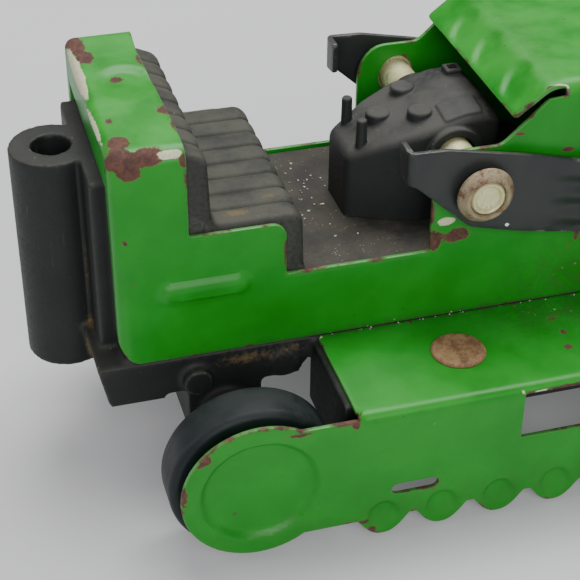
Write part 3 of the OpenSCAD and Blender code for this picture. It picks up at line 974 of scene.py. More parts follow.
BODY_RUST = [
    # strip: rear far corner and rear edge, front edge, near fold, spots
    (-15.4, 18.0, 37.6, 1.7, 2.4, 2.0, 1.1),
    (-15.0, 14.8, 37.9, 1.5, 3.4, 1.4, 1.1),
    (-14.2, 10.8, 37.6, 1.6, 2.3, 1.4, 1.1),
    (-10.0, 18.3, 37.6, 7.0, 0.7, 1.2, 0.9),
    (-10.6, 3.9, 37.2, 1.2, 1.2, 1.4, 1.05),
    (-14.0, -8.4, 36.4, 0.7, 1.2, 1.0, 0.9),
    (-5.8, 8.4, 37.4, 0.9, 2.2, 1.4, 1.05),
    (-5.6, -7.0, 36.4, 1.4, 1.7, 1.0, 0.95),
    (-5.0, -11.5, 36.4, 0.8, 3.0, 1.0, 0.8),
    (-13.8, -14.6, 36.2, 2.0, 2.3, 1.4, 1.0),
    (-14.2, -17.6, 35.2, 2.4, 2.4, 2.2, 1.1),
    (-10.6, -17.8, 35.4, 3.0, 1.7, 1.6, 1.0),
    (-13.4, -19.0, 33.9, 2.0, 1.2, 1.5, 1.0),
    (-5.4, -18.6, 34.6, 0.8, 1.2, 1.6, 0.9),
    # near wall
    (-14.5, -19.0, 22.3, 0.5, 1.0, 0.8, 0.85),
    (-13.8, -19.0, 15.0, 0.4, 1.0, 0.4, 0.85),
    (9.9, -19.0, 16.0, 0.45, 1.0, 4.0, 0.75),
    (33.6, -19.0, 14.6, 1.7, 1.0, 2.3, 1.0),
    (37.6, -19.0, 15.0, 2.6, 1.0, 1.5, 0.95),
    (31.4, -19.0, 12.9, 2.0, 1.0, 0.5, 0.85),
    (58.0, -19.0, 12.0, 0.5, 1.0, 2.4, 0.9),
    (56.8, -19.0, 9.6, 1.0, 1.0, 0.4, 0.8),
    (54.6, -19.0, 27.6, 1.6, 1.0, 0.8, 0.8),
    (46.4, -19.0, 31.6, 1.6, 1.0, 0.5, 0.7),
    # flap and hood
    (50.6, -18.3, 38.4, 1.0, 0.5, 0.8, 0.9),
    (50.4, 3.0, 38.8, 0.5, 0.4, 1.0, 0.9),
    (49.0, 15.6, 38.2, 0.5, 0.5, 1.0, 0.8),
    (58.0, -19.0, 37.4, 5.0, 0.8, 0.6, 0.6),
    # far side and front, kept in step with the near side
    (-13.0, 19.0, 30.0, 1.4, 1.0, 2.6, 0.8),
    (20.0, 19.0, 12.4, 6.0, 1.0, 0.6, 0.6),
    (60.0, 19.0, 6.0, 1.2, 1.0, 1.4, 0.8),
    (88.0, -19.0, 33.0, 1.6, 1.0, 1.0, 0.8),
    (96.0, 8.0, 38.8, 1.2, 1.6, 1.0, 0.8),
    (72.0, 18.6, 37.8, 6.0, 1.0, 1.0, 0.75),
    (103.6, -12.0, 38.8, 0.8, 5.0, 1.0, 0.8),
    (102.0, 19.0, 20.0, 1.2, 1.0, 5.0, 0.7),
]
BODY_BARE = [
    (-16.1, 7.0, 36.9, 1.0, 8.5, 1.4, 1.25),
    (-16.2, -8.0, 35.9, 0.7, 9.0, 0.7, 0.85),
    (-7.2, -18.2, 35.6, 2.0, 0.7, 0.9, 1.1),
    (35.4, -19.0, 17.8, 1.6, 1.0, 0.9, 1.05),
    (52.6, -18.4, 38.2, 1.6, 0.45, 0.7, 1.1),
    (10.6, -19.0, 12.6, 0.5, 0.6, 0.2, 0.9),
    (90.0, 18.4, 38.0, 5.0, 0.5, 0.6, 0.8),
]
BODY_DIRT = [
    (40.0, -19.0, 0.3, 45.0, 1.0, 0.7, 1.0),
    (60.0, -19.0, 4.0, 14.0, 1.0, 7.0, 0.7),
    (40.0, 19.0, 0.3, 45.0, 1.0, 0.7, 1.0),
    (50.0, 0.0, 38.8, 6.0, 14.0, 1.5, 0.5),
]


def build_body():
    shell = sheet("pressed_body", body_blank(), body_place, body_relief, step=0.7)
    stain(shell, "rust", BODY_RUST)
    stain(shell, "bare", BODY_BARE)
    stain(shell, "dirt", BODY_DIRT)
    settle(shell, "chassis", "green_enamel", GREEN_MAT, "body_shell")


# ---------------------------------------------------------------------------
# Track frames
# ---------------------------------------------------------------------------

BEND_R = 1.5
FLANGE_IN = BODY_Y + 0.1
DECK_REAR = 15.0
END_Z = -10.9
END_R = 12.1
EDGE_Z = -20.85
CLEAT_R = 3.3
CLEAT_HALF = 4.25
CLEAT_PITCH = 9.6
CLEATS = 7
FIRST_CLEAT = (WHEELBASE - (CLEATS - 1) * CLEAT_PITCH) / 2
DISH_R = 9.4
DISH_DEPTH = 1.15
PLATE_TOP = -0.6
FLANGE_FLAT = TRACK_Y - BEND_R
BEND_L = BEND_R * math.pi / 2
WINDOW = (41.6, 61.2, -9.7, -1.2)
SLOTS = (24.6, WHEELBASE - 24.6)
SLOT_Z = -15.5
SLOT_HALF = 3.8
RIVETS = (34.9, WHEELBASE - 34.9)
RIVET_Y = 28.9


def plate_v(z):
    """How far out on the unfolded track frame a height of its plate lies."""
    return FLANGE_FLAT + BEND_L - BEND_R - z


def track_place(u, v):
    """Folds the flat blank of the right-hand track frame, whose plate stands at -y."""
    down = v - FLANGE_FLAT - BEND_L
    flat = Vector((u, -TRACK_Y, -BEND_R - down))
    bent_share = smoothstep(DECK_REAR - 0.4, DECK_REAR + 0.9, u)
    bent_share *= smoothstep(DECK_REAR - 0.4, DECK_REAR + 0.9, WHEELBASE - u)
    if down >= 0 or bent_share == 0:
        return flat, Vector((0, -1, 0))
    if v > FLANGE_FLAT:
        a = (v - FLANGE_FLAT) / BEND_R
        bent = Vector((u, -FLANGE_FLAT - BEND_R * math.sin(a), -BEND_R * (1 - math.cos(a))))
        out = Vector((0, -math.sin(a), math.cos(a)))
        return flat.lerp(bent, bent_share), Vector((0, -1, 0)).lerp(out, bent_share).normalized()
    return Vector((u, -v, 0)), Vector((0, 0, 1))


def track_relief(u, v):
    """The dish in each round end and the pressing above each cleat."""
    z = FLANGE_FLAT + BEND_L - BEND_R - v
    depth = 0
    for x in (0, WHEELBASE):
        share = min(1, math.hypot(u - x, z - END_Z) / DISH_R)
        depth -= 0.8 * DISH_DEPTH * smoothstep(1, 0.88, share) + 0.35 * DISH_DEPTH * (1 - share ** 2)
    nearest = FIRST_CLEAT + CLEAT_PITCH * min(CLEATS - 1, max(0, round((u - FIRST_CLEAT) / CLEAT_PITCH)))
    ball = math.hypot((u - nearest) / 2.9, (z - EDGE_Z - 0.2) / 3.3)
    depth -= 0.9 * smoothstep(1.0, 0.6, ball) * smoothstep(-3.4, 1.6, z - EDGE_Z)
    return depth


def track_outline():
    """The edge of the unfolded track frame, from the deck's inner edge round the cleats."""
    dip = math.degrees(math.asin((PLATE_TOP - END_Z) / END_R))
    sole = math.degrees(math.asin((END_Z - EDGE_Z) / END_R))
    end = [(x, plate_v(z)) for x, z in arc(0, END_Z, END_R, dip, 360 - sole, 40)]
    lower = []
    for i in range(CLEATS):
        for k in range(-12, 13):
            share = k / 12
            drop = CLEAT_R * (1 - abs(share) ** 2.3) ** 1.2
            lower.append((FIRST_CLEAT + i * CLEAT_PITCH + share * CLEAT_HALF, EDGE_Z - drop))
    low = [(x, plate_v(z)) for x, z in lower]
    deck = [(DECK_REAR, plate_v(PLATE_TOP)), (DECK_REAR, FLANGE_IN + 0.6), (DECK_REAR + 0.6, FLANGE_IN)]
    front = [(WHEELBASE - x, v) for x, v in reversed(deck)] + [(WHEELBASE - x, v) for x, v in end]
    return deck + front + list(reversed(low)) + list(reversed(end))


def track_holes():
    x0, x1, z0, z1 = WINDOW
    holes = [rectangle(x0, plate_v(z0), x1, plate_v(z1), 0.35)]
    for x in SLOTS:
        v = plate_v(SLOT_Z)
        holes.append(rectangle(x - SLOT_HALF, v - 1, x + SLOT_HALF, v + 1, 0.95, 30))
    return holes


TRACK_RUST = [
    (52.8, -28.5, 0.0, 0.7, 0.9, 1.0, 0.9),
    (51.9, -32.3, 0.0, 0.8, 0.8, 1.0, 0.95),
    (52.4, -25.0, 0.0, 2.2, 1.6, 1.0, 0.5),
    (16.4, -40.3, -21.1, 1.5, 1.0, 0.55, 1.0),
    (17.9, -40.3, -23.0, 0.8, 1.0, 0.9, 0.9),
    (14.6, -40.3, -1.4, 0.9, 1.0, 0.9, 0.85),
    (-8.8, -40.3, -2.8, 2.2, 1.0, 1.6, 0.8),
    (-11.6, -40.3, -9.0, 0.7, 1.0, 4.0, 0.75),
    (6.0, -40.3, -1.2, 3.0, 1.0, 0.7, 0.7),
    (51.0, -40.3, -1.0, 10.0, 1.0, 0.4, 0.85),
    (28.0, -40.3, -14.2, 0.5, 1.0, 0.4, 0.8),
    (77.0, -40.3, -19.8, 2.0, 1.0, 1.6, 0.8),
    (97.0, -40.3, -22.6, 6.0, 1.0, 0.8, 0.75),
    (30.4, -19.5, 0.0, 0.7, 0.5, 1.0, 0.9),
]
TRACK_BARE = [
    (15.3, -19.6, 0.0, 0.6, 0.4, 0.6, 1.0),
    (41.2, -40.1, -1.0, 0.5, 0.8, 0.5, 1.0),
    (44.5, -40.3, -1.1, 2.4, 1.0, 0.35, 0.8),
    (27.0, -40.3, -3.6, 0.45, 1.0, 0.4, 0.8),
]
TRACK_DIRT = [
    (48.0, -19.4, 0.0, 60.0, 0.7, 1.0, 1.0),
    (55.0, -22.5, 0.0, 16.0, 5.0, 1.0, 0.75),
    (48.0, -40.3, -20.0, 60.0, 1.0, 4.0, 0.35),
]


def build_tracks():
    loops = [track_outline()] + track_holes()
    right = sheet("track_frame_pressing_right", loops, track_place, track_relief, step=0.62)
    stain(right, "rust", TRACK_RUST)
    stain(right, "bare", TRACK_BARE)
    stain(right, "dirt", TRACK_DIRT)
    left = mirrored("track_frame_pressing_left", right)
    settle(right, "chassis", "green_enamel", GREEN_MAT, "track_frame_right")
    settle(left, "chassis", "green_enamel", GREEN_MAT, "track_frame_left")


def build_rivets():
    head = [(0, 0.62), (2.0, 0.6), (3.3, 0.66), (3.9, 0.62), (4.25, 0.42), (4.4, 0.12), (4.3, -0.02),
            (1.8, -0.02), (1.8, -3.0), (2.9, -3.05), (2.8, -3.6), (2.2, -3.85), (0, -3.9)]
    parts = [lathe("rivet", soften(head, 0.15), (x, s * RIVET_Y, 0), "z") for x in RIVETS for s in (-1, 1)]
    rivets = join("flange_rivet_heads", parts)
    settle(rivets, "chassis", "rusty_steel", RIVET_MAT, "flange_rivets")


# ---------------------------------------------------------------------------
# Plastic parts
# ---------------------------------------------------------------------------


def build_base():
    base = copy_node("moulded_base", "chassis_base")
    fuse(base, 0.42, 3)
    stain(base, "dust", [(-19.6, -18.6, -0.6, 1.6, 5.0, 0.8, 0.8), (-2.0, -19.0, -0.2, 22.0, 1.2, 0.5, 0.55),
                         (9.0, -19.0, -1.6, 7.0, 1.6, 1.8, 0.5), (-18.0, 0.0, 29.5, 2.0, 16.0, 0.5, 0.4)])
    stain(base, "ochre", [(-18.8, -6.6, -3.0, 1.3, 2.6, 6.0, 0.95), (-18.8, -6.6, 10.0, 0.7, 1.4, 12.0, 0.6),
                          (4.0, -19.0, -2.2, 9.0, 1.4, 1.8, 0.62), (11.0, -19.0, -1.6, 3.0, 1.4, 1.4, 0.6)])
    settle(base, "chassis", "black_plastic", PLASTIC, "chassis_base")


SEAT_LOW, SEAT_HIGH = mm_box("seat")
SEAT_RIBS = 8
SEAT_GROOVE = 0.8


def seat_profile():
    """Side view of the seat as (x, z, radius), from the rear of its base round the cushion and the back."""
    rear = SEAT_LOW.x - AXLE_X
    top = SEAT_HIGH.z - DECK
    return [(rear, FLOOR_Z, 0), (13.2, FLOOR_Z, 0.3), (12.9, FLOOR_Z + 10.6, 2.4), (-1.1, FLOOR_Z + 10.6, 1.4),
            (-1.6, top - 1.6, 2.4), (-5.2, top, 0.6), (rear, top, 0)]


def build_seat():
    loop = densify(rounded(seat_profile(), 12), 0.9)
    ways = inward_ways(loop, False)
    half = SEAT_HIGH.y
    pitch = 2 * half / SEAT_RIBS
    steps_per_rib = 16
    points, faces = [], []
    rings = []
    for k in range(SEAT_RIBS * steps_per_rib + 1):
        y = -half + k * pitch / steps_per_rib
        phase = (y + half) / pitch % 1
        groove = SEAT_GROOVE * (1 - math.sin(math.pi * phase) ** 0.3) * (0.7 + 0.5 * phase)
        end = min(1, (half - abs(y)) / 0.8)
        groove += 0.5 * (1 - math.sqrt(max(0, 1 - (1 - end) ** 2)))
        ring = []
        for (x, z), way in zip(loop, ways):
            upper = smoothstep(FLOOR_Z + 0.2, FLOOR_Z + 1.5, z) * smoothstep(-13.2, -11, x)
            ring.append(len(points))
            points.append((x + way.x * groove * upper, y, z + way.y * groove * upper))
        rings.append(ring)
    count = len(loop)
    for a, b in zip(rings, rings[1:]):
        faces += [(a[i], a[(i + 1) % count], b[(i + 1) % count], b[i]) for i in range(count)]
    faces += [tuple(reversed(rings[0])), tuple(rings[-1])]
    seat = make("ribbed_seat", points, faces)
    rib_edges = [-half + i * pitch for i in range(SEAT_RIBS + 1)]
    grooves = [(4.0, y, FLOOR_Z + 10.0, 16.0, 0.35, 16.0, 0.35) for y in rib_edges]
    stain(seat, "dust", grooves + [(12.4, -10.0, FLOOR_Z + 10.4, 1.2, 12.0, 1.4, 0.5)])
    stain(seat, "ochre", [
        (3.0, -15.5, FLOOR_Z + 10.6, 3.0, 1.4, 1.5, 0.75),
        (9.0, -12.0, FLOOR_Z + 10.6, 3.0, 1.2, 1.5, 0.6),
        (-3.0, -14.0, FLOOR_Z + 22.0, 1.5, 1.2, 4.0, 0.5),
    ])
    settle(seat, "chassis", "black_plastic", SEAT_MAT, "seat")


CONSOLE_REAR = 23.6
CONSOLE_FRONT = 48.0
BUTTONS = ((30.3, 0.0), (35.8, -4.2), (35.8, 4.2))
LEVERS = ((26.3, 3.6), (26.3, -4.0))


def console_top(x, y):
    """The dash slopes up to the front, with a slight crown across it."""
    along = [CONSOLE_REAR - 1, CONSOLE_REAR, 30, 36, 42, 46, 49]
    z = np.interp(x, along, [22.6, 23.2, 26.6, 29, 30.5, 30.6, 28.6])
    return z - 0.012 * y * y


def build_console():
    half = [(CONSOLE_REAR, 4.7, 1.6), (30, 7.8, 3), (35, 9.2, 3), (CONSOLE_FRONT, 9.2, 1.6)]
    outline = rounded([(x, y, r) for x, y, r in half] + [(x, -y, r) for x, y, r in reversed(half)])
    parts = [slab("block", outline, console_top, FLOOR_Z - 0.1, 1.1, 0.7)]
    arch = [(ROD_R + 0.35, -10.2), (4.6, -10.2), (4.6, 10.2), (ROD_R + 0.35, 10.2)]
    parts.append(lathe("arch", soften(arch, 0.35), (LIFT_X, 0, LIFT_Z)))
    for x, y in BUTTONS:
        top = console_top(x + 1.6, y) + 0.5
        knob = [(0, 0.05), (1.5, 0.02), (1.85, -0.12), (2.0, -0.4), (2.0, -3.8), (0, -3.8)]
        parts.append(lathe("button", knob, (x, y, top), "z", 40, False))
    for x, y in LEVERS:
        base = console_top(x, y) - 1.5
        stick = [(0, 6.1), (0.7, 6.05), (0.85, 5.8), (0.95, 0), (0, 0)]
        parts.append(lathe("lever", stick, (x, y, base), "z", 24, False))
    panel = rectangle(38.5, -8.4, 44.8, -3.6, 0.5)
    parts.append(slab("panel", panel, lambda x, y: console_top(x, y) + 0.35, 26, 0.3, 0.7))
    stub = rectangle(43.2, 3.6, 46.0, 6.4, 0.4)
    parts.append(slab("stub", stub, lambda x, y: 31.4, 28, 0.3, 0.5))
    block = join("dash_moulding", parts)
    fuse(block, 0.17, 1)
    hole = slab("stub_hole", rectangle(43.8, 4.2, 45.4, 5.8, 0.3), lambda x, y: 34, 28.6, 0.1, 0.4)
    rod_space = [(0, -12), (ROD_R + 0.3, -12), (ROD_R + 0.3, 12), (0, 12)]
    bore = lathe("bore", rod_space, (LIFT_X, 0, LIFT_Z), closed=False)
    cut_away(block, [hole, bore])
    smooth(block, math.radians(50))
    stain(block, "dust", [(44.6, 5.0, 31.6, 1.9, 1.9, 0.4, 0.9), (42.0, -6.0, 30.5, 5.0, 4.0, 1.5, 0.3)])
    settle(block, "chassis", "black_plastic", CONSOLE_MAT, "dash_console")


def build_floor():
    low, high = mm_box("cab_floor")
    x0, x1 = low.x - AXLE_X, high.x - AXLE_X
    outline = rectangle(x0, low.y, x1, high.y, 0.3)

    def gritty(x, y):
        return FLOOR_Z - 0.02 + 0.05 * noise.noise(Vector((x * 0.9, y * 0.9, 0)))

    tray = slab("cab_floor_moulding", outline, gritty, FLOOR_Z - 1.2, 0.25, 0.9)
    parts = [tray]
    for x in (-9.2, 58.8):
        loop = rectangle(x - 0.8, low.y + 2, x + 0.8, high.y - 2, 0.2)
        parts.append(slab("foot", loop, lambda a, b: FLOOR_Z - 1.0, 0.02, 0.1, 1.6))
    tray = join("cab_floor_moulding", parts)
    stain(tray, "dust", [
        (20.0, 0.0, FLOOR_Z, 9.0, 12.0, 1.0, 0.55),
        (18.0, -14.0, FLOOR_Z, 4.0, 5.0, 1.0, 0.5),
        (26.0, 12.0, FLOOR_Z, 10.0, 3.0, 1.0, 0.7),
    ])
    settle(tray, "chassis", "black_plastic", FLOOR_MAT, "cab_floor")


def build_crumbs():
    """Grains of dirt caught in the cab and along the foot of the body."""
    pick = random.Random(7)
    parts = []
    spots = []
    for _ in range(46):
        x = pick.gauss(19, 4)
        y = pick.gauss(4, 7)
        spots.append((x, y, FLOOR_Z + 0.08, pick.uniform(0.12, 0.26)))
    for side, count in ((-1, 38), (1, 30)):
        for _ in range(count):
            x = pick.uniform(15.5, 81)
            y = side * (BODY_Y + pick.uniform(0.25, 0.7))
            spots.append((x, y, 0.06, pick.uniform(0.08, 0.2)))
    grains = bmesh.new()
    for x, y, z, r in spots:
        if abs(y) < BODY_Y and (abs(y) > 17 or not 14 < x < 30):
            continue
        made = bmesh.ops.create_icosphere(grains, subdivisions=1, radius=r * MM)
        for vertex in made["verts"]:
            vertex.co *= pick.uniform(0.7, 1.25)
            vertex.co.z *= 0.7
            vertex.co += row(x, y, z)
    mesh = bpy.data.meshes.new("dirt_grains")
    grains.to_mesh(mesh)
    grains.free()
    obj = add_object("dirt_grains", mesh)
    f = Finish("pale_grit")
    tone = f.noise(0.8, 2)
    color = f.mix(f.step(tone, 0.4, 0.6), (0.20, 0.19, 0.14), (0.62, 0.60, 0.48))
    settle(obj, "chassis", "black_plastic", f.close(color, 0.8, f.bump(tone, 0.05)))


def build_grille():
    grille = copy_node("grille_moulding", "grille")
    fuse(grille, 0.3, 2)
    settle(grille, "chassis", "black_plastic", PLASTIC, "grille")


# ---------------------------------------------------------------------------
# Running gear
# ---------------------------------------------------------------------------

WHEEL_LOW, WHEEL_HIGH = mm_box("wheel_rear_left")
WHEEL_R = (WHEEL_HIGH.z - WHEEL_LOW.z) / 2
WHEEL_W = WHEEL_HIGH.y - WHEEL_LOW.y


def wheel_profile():
    """Half section of a wheel from its bore round the tread, as (radius, distance out)."""
    w, r = WHEEL_W, WHEEL_R
    tread = arc(r - 1.6, 1.6, 1.6, -90, 0, 6) + [(r, w * 0.5)] + arc(r - 1.3, w - 1.3, 1.3, 0, 80, 6)
    inner = [(1.65, 0), (4, 0), (4.2, 0.5), (8.6, 0.5), (8.9, 0)]
    outer = [(r - 3.2, w), (r - 3.7, w - 1.1), (5.2, w - 1.5)]
    outer += [(4.8, w - 0.6), (1.9, w - 0.6), (1.65, w - 0.8)]
    return inner + tread + outer


def build_wheels():
    for end, x in (("rear", 0), ("front", WHEELBASE)):
        for side, sign in (("right", -1), ("left", 1)):
            node = f"wheel_{end}_{side}"
            inner = mm_box(node)[0].y if sign > 0 else mm_box(node)[1].y
            profile = [(r, sign * t) for r, t in soften(wheel_profile(), 0.3, 3)]
            wheel = lathe(f"{node}_moulding", profile, (x, inner, AXLE_Z), steps=96)
            settle(wheel, f"{node}_body", "wheel_plastic", WHEEL_MAT, node)


def build_axles():
    for end, x in (("rear", 0), ("front", WHEELBASE)):
        low, high = mm_box(f"{end}_axle")
        r = (high.z - low.z) / 2
        bar = [(0, low.y), (r - 0.5, low.y), (r, low.y + 0.5)]
        bar += [(r, high.y - 0.5), (r - 0.5, high.y), (0, high.y)]
        axle = lathe(f"{end}_axle_bar", bar, (x, 0, AXLE_Z), steps=40, closed=False)
        settle(axle, "chassis", "plated_steel", ZINC, f"{end}_axle")
    start = mm_box("axle_push_nuts")[1].y - 0.9
    cap = [(1.6, 0), (3.4, 0), (3.4, 0.25), (2.9, 0.35), (2.3, 0.85), (1.6, 0.9)]
    nuts = []
    for x in (0, WHEELBASE):
        for sign in (-1, 1):
            profile = [(r, sign * t) for r, t in soften(cap, 0.1)]
            nuts.append(lathe("nut", profile, (x, sign * start, AXLE_Z)))
    settle(join("push_nuts", nuts), "chassis", "plated_steel", ZINC, "axle_push_nuts")


# ---------------------------------------------------------------------------
# Lift linkage
# ---------------------------------------------------------------------------

ARM_T = 0.9
ARM_REAR = 28.0
TAB_L = 4.4
TAB_R = 1.1
TAB_U = ARM_REAR + TAB_R - TAB_R * math.pi / 2 - (TAB_L - TAB_R)


def arm_place(u, v):
    """The right-hand arm lies flat at -y, with its rear finger tab bent towards the middle."""
    back = ARM_REAR + TAB_R - u
    if back <= 0:
        return Vector((u, -ARM_Y, v)), Vector((0, -1, 0))
    turned = min(back / TAB_R, math.pi / 2)
    straight = max(0, back - TAB_R * math.pi / 2)
    x = ARM_REAR + TAB_R - TAB_R * math.sin(turned)
    y = -ARM_Y + TAB_R * (1 - math.cos(turned)) + straight
    return Vector((x, y, v)), Vector((-math.sin(turned), -math.cos(turned), 0))


def arm_line(x, share):
    """Height at a share of the arm's depth, from its lower edge to its upper edge."""
    low = np.interp(x, [46.2, 57.5, 82, TILT_X], [15.4, 13.2, 7.4, TILT_Z - 4.0])
    high = np.interp(x, [47.6, 84, TILT_X], [28.7, 19.6, TILT_Z + 4.2])
    return low + (high - low) * share


def arm_relief(u, v):
    """Two tapered channels pressed into the arm and one along its lower edge."""
    depth = 0
    for share, start, end, width in ((0.66, 50, 104, 1.5), (0.36, 50, 104, 1.5), (0.07, 51, 78, 1.3)):
        if start < u < end:
            taper = smoothstep(start, start + 7, u) * smoothstep(end, end - 8, u)
            off = abs(v - arm_line(u, share))
            depth -= 0.55 * taper * smoothstep(width, width * 0.35, off)
    return depth


def arm_outline():
    """The arm in side view, from its finger tab to the round end at the bucket."""
    body = rounded([
        (TILT_X - 2.7, TILT_Z - 3.7, 0), (82, 7.4, 30), (57.5, 13.2, 8), (46.2, 15.4, 8),
        (38.6, 17.4, 3), (29.2, 25.9, 2), (TAB_U, 26.6, 0.6),
        (TAB_U, 31.8, 0.6), (34.0, 31.5, 5), (47.6, 28.7, 12), (84, 19.6, 30),
        (TILT_X + 2.7, TILT_Z + 3.7, 0),
    ])
    start = math.degrees(math.atan2(3.7, 2.7))
    return body + arc(TILT_X, TILT_Z, 4.58, start, start - 180, 18)[1:-1]


def build_arms():
    holes = [circle(LIFT_X, LIFT_Z, ROD_R + 0.1), circle(TILT_X, TILT_Z, 2.0, 32)]
    brace = middle("arm_cross_brace")
    holes.append(circle(brace.x - AXLE_X, brace.z - DECK, 1.4, 24))
    right = sheet("lift_arm_pressing_right", [arm_outline()] + holes, arm_place, arm_relief, ARM_T, 0.8)
    stain(right, "bare", [(44.9, -ARM_Y, 17.0, 0.55, 0.6, 0.4, 1.1)])
    left = mirrored("lift_arm_pressing_left", right)
    stain(left, "bare", [(70.0, ARM_Y, 12.0, 0.6, 0.6, 0.4, 1.0)])
    settle(right, "lift_arms", "black_enamel", ARM_MAT, "lift_arm_right")
    settle(left, "lift_arms", "black_enamel", ARM_MAT, "lift_arm_left")


def build_pivot():
    """The lift rod with its hollow riveted ends, the domed caps on it and the spacers inside the arms."""
    end = ROD_HIGH.y - 0.35
    half = [
        (ROD_R, 0), (ROD_R, end - 0.9), (ROD_R - 0.1, end - 0.35), (ROD_R - 0.35, end - 0.05),
        (ROD_R - 0.6, end), (ROD_R - 0.8, end - 0.15), (ROD_R - 0.95, end - 0.6),
        (ROD_R - 1.2, end - 0.7), (0.7, end - 0.5), (0, end - 0.45),
    ]
    rod_profile = [(r, -t) for r, t in reversed(half)][:-1] + half
    rod = lathe("lift_rod", rod_profile, (LIFT_X, 0, LIFT_Z), closed=False, steps=64)
    groove = [(LIFT_X - 0.3, s * (end - 0.6), LIFT_Z + 0.4, 1.7, 0.4, 1.3, 0.4) for s in (-1, 1)]
    stain(rod, "dark", groove)
    settle(rod, "chassis", "plated_steel", ZINC, "lift_pivot_rod")
    low, high = mm_box("pivot_caps")
    outer = high.y
    ring_r = (high.z - low.z) / 2
    neck = outer - 2.2
    crown = [
        (ROD_R, ARM_Y + 0.1), (ring_r - 1, ARM_Y + 0.1), (ring_r - 1, neck), (ring_r - 0.25, neck + 0.1),
        (ring_r, neck + 0.45), (ring_r - 0.12, neck + 0.9), (ring_r - 0.6, neck + 1.5),
        (ring_r - 1.1, outer - 0.12), (ring_r - 1.5, outer), (ROD_R + 0.12, outer - 0.2),
        (ROD_R, outer - 0.45),
    ]
    caps = turned_pair("cap", crown, 0.12, LIFT_X, LIFT_Z)
    body = frame["nodes"]["pivot_caps"]["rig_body"]
    settle(join("pivot_cap_rings", caps), body, "rusty_steel", CAP_MAT, "pivot_caps")
    low, high = mm_box("arm_spacers")
    washer_r = (high.z - low.z) / 2
    wall = BODY_Y + 0.05
    ring = [(ROD_R + 0.02, wall), (washer_r, wall), (washer_r, high.y), (ROD_R + 0.02, high.y)]
    washers = turned_pair("spacer", ring, 0.12, LIFT_X, LIFT_Z)
    body = frame["nodes"]["arm_spacers"]["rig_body"]
    settle(join("arm_spacer_washers", washers), body, "plated_steel", ZINC, "arm_spacers")


def build_brace():
    at = middle("arm_cross_brace")
    half = mm_box("arm_cross_brace")[1].y
    inner = ARM_Y - ARM_T
    side = [
        (2.2, 0), (2.2, inner - 0.3), (1.9, inner), (1.4, inner), (1.4, ARM_Y), (2.4, ARM_Y),
        (2.35, ARM_Y + 0.3), (1.7, half - 0.05), (0.6, half), (0, half),
    ]
    profile = [(r, -t) for r, t in reversed(side)][:-1] + side
    brace = lathe("arm_brace_bar", profile, (at.x - AXLE_X, 0, at.z - DECK), closed=False, steps=40)
    put_layer(brace, "edge", [3] * len(brace.data.vertices))
    settle(brace, "lift_arms", "black_enamel", ARM_MAT, "arm_cross_brace")


def build_pins():
    outer = mm_box("bucket_pins")[1].y
    inner = ARM_Y - ARM_T - 0.15 - 0.9
    pin = [(0, outer), (1.6, outer - 0.05), (2.9, outer - 0.4), (3.4, outer - 0.95), (2.0, outer - 1.0),
           (2.0, inner - 0.15), (3.2, inner - 0.15), (3.1, inner - 0.7), (2.2, inner - 1.0), (0, inner - 1.0)]
    pins = turned_pair("pin", pin, 0.12, TILT_X, TILT_Z, closed=False)
    body = frame["nodes"]["bucket_pins"]["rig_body"]
    settle(join("bucket_pin_rivets", pins), body, "plated_steel", ZINC, "bucket_pins")


# ---------------------------------------------------------------------------
# Bucket
# ---------------------------------------------------------------------------

CURVE = (136.0, 15.4, 14.4)
LIP_X = 156.5
LIP_Z = 0.6
BACK_TOP = (125.0, 36.0)
PLATE = 0.9
TEETH = 7


def bucket_profile():
    """Outer side of the bucket from the top of its back to its lip, as (x, height over the ground)."""
    cx, cz, r = CURVE
    return [BACK_TOP] + arc(cx, cz, r, 175, 268, 40) + [(LIP_X, LIP_Z)]


def along_profile(line):
    """Length along a line of points, for each of its points."""
    lengths = [0.0]
    for a, b in zip(line, line[1:]):
        lengths.append(lengths[-1] + math.dist(a, b))
    return lengths


BUCKET_LINE = bucket_profile()
BUCKET_RUN = along_profile(BUCKET_LINE)


def bucket_place(u, v):
    """Wraps the flat blank of the bucket's back and floor round its curve."""
    u = min(BUCKET_RUN[-1], max(0, u))
    x = np.interp(u, BUCKET_RUN, [p[0] for p in BUCKET_LINE])
    z = np.interp(u, BUCKET_RUN, [p[1] for p in BUCKET_LINE])
    x1, x0 = [np.interp(u + d, BUCKET_RUN, [p[0] for p in BUCKET_LINE]) for d in (0.8, -0.8)]
    z1, z0 = [np.interp(u + d, BUCKET_RUN, [p[1] for p in BUCKET_LINE]) for d in (0.8, -0.8)]
    way = Vector((z1 - z0, 0, -(x1 - x0))).normalized()
    return Vector((x, v, z + GROUND)), way


def bucket_relief(u, v):
    """Three stiffening ribs pressed into the back of the bucket."""
    height = 0
    for y in (-24, 0, 24):
        height += -0.5 * smoothstep(0, 0.8, capsule(u, v, (5, y), (26, y), 2.2))
    return height


def tooth_top(x, y):
    """A tooth thins a little towards its tip."""
    return GROUND + LIP_Z + 0.95 - 0.1 * max(0, x - LIP_X)


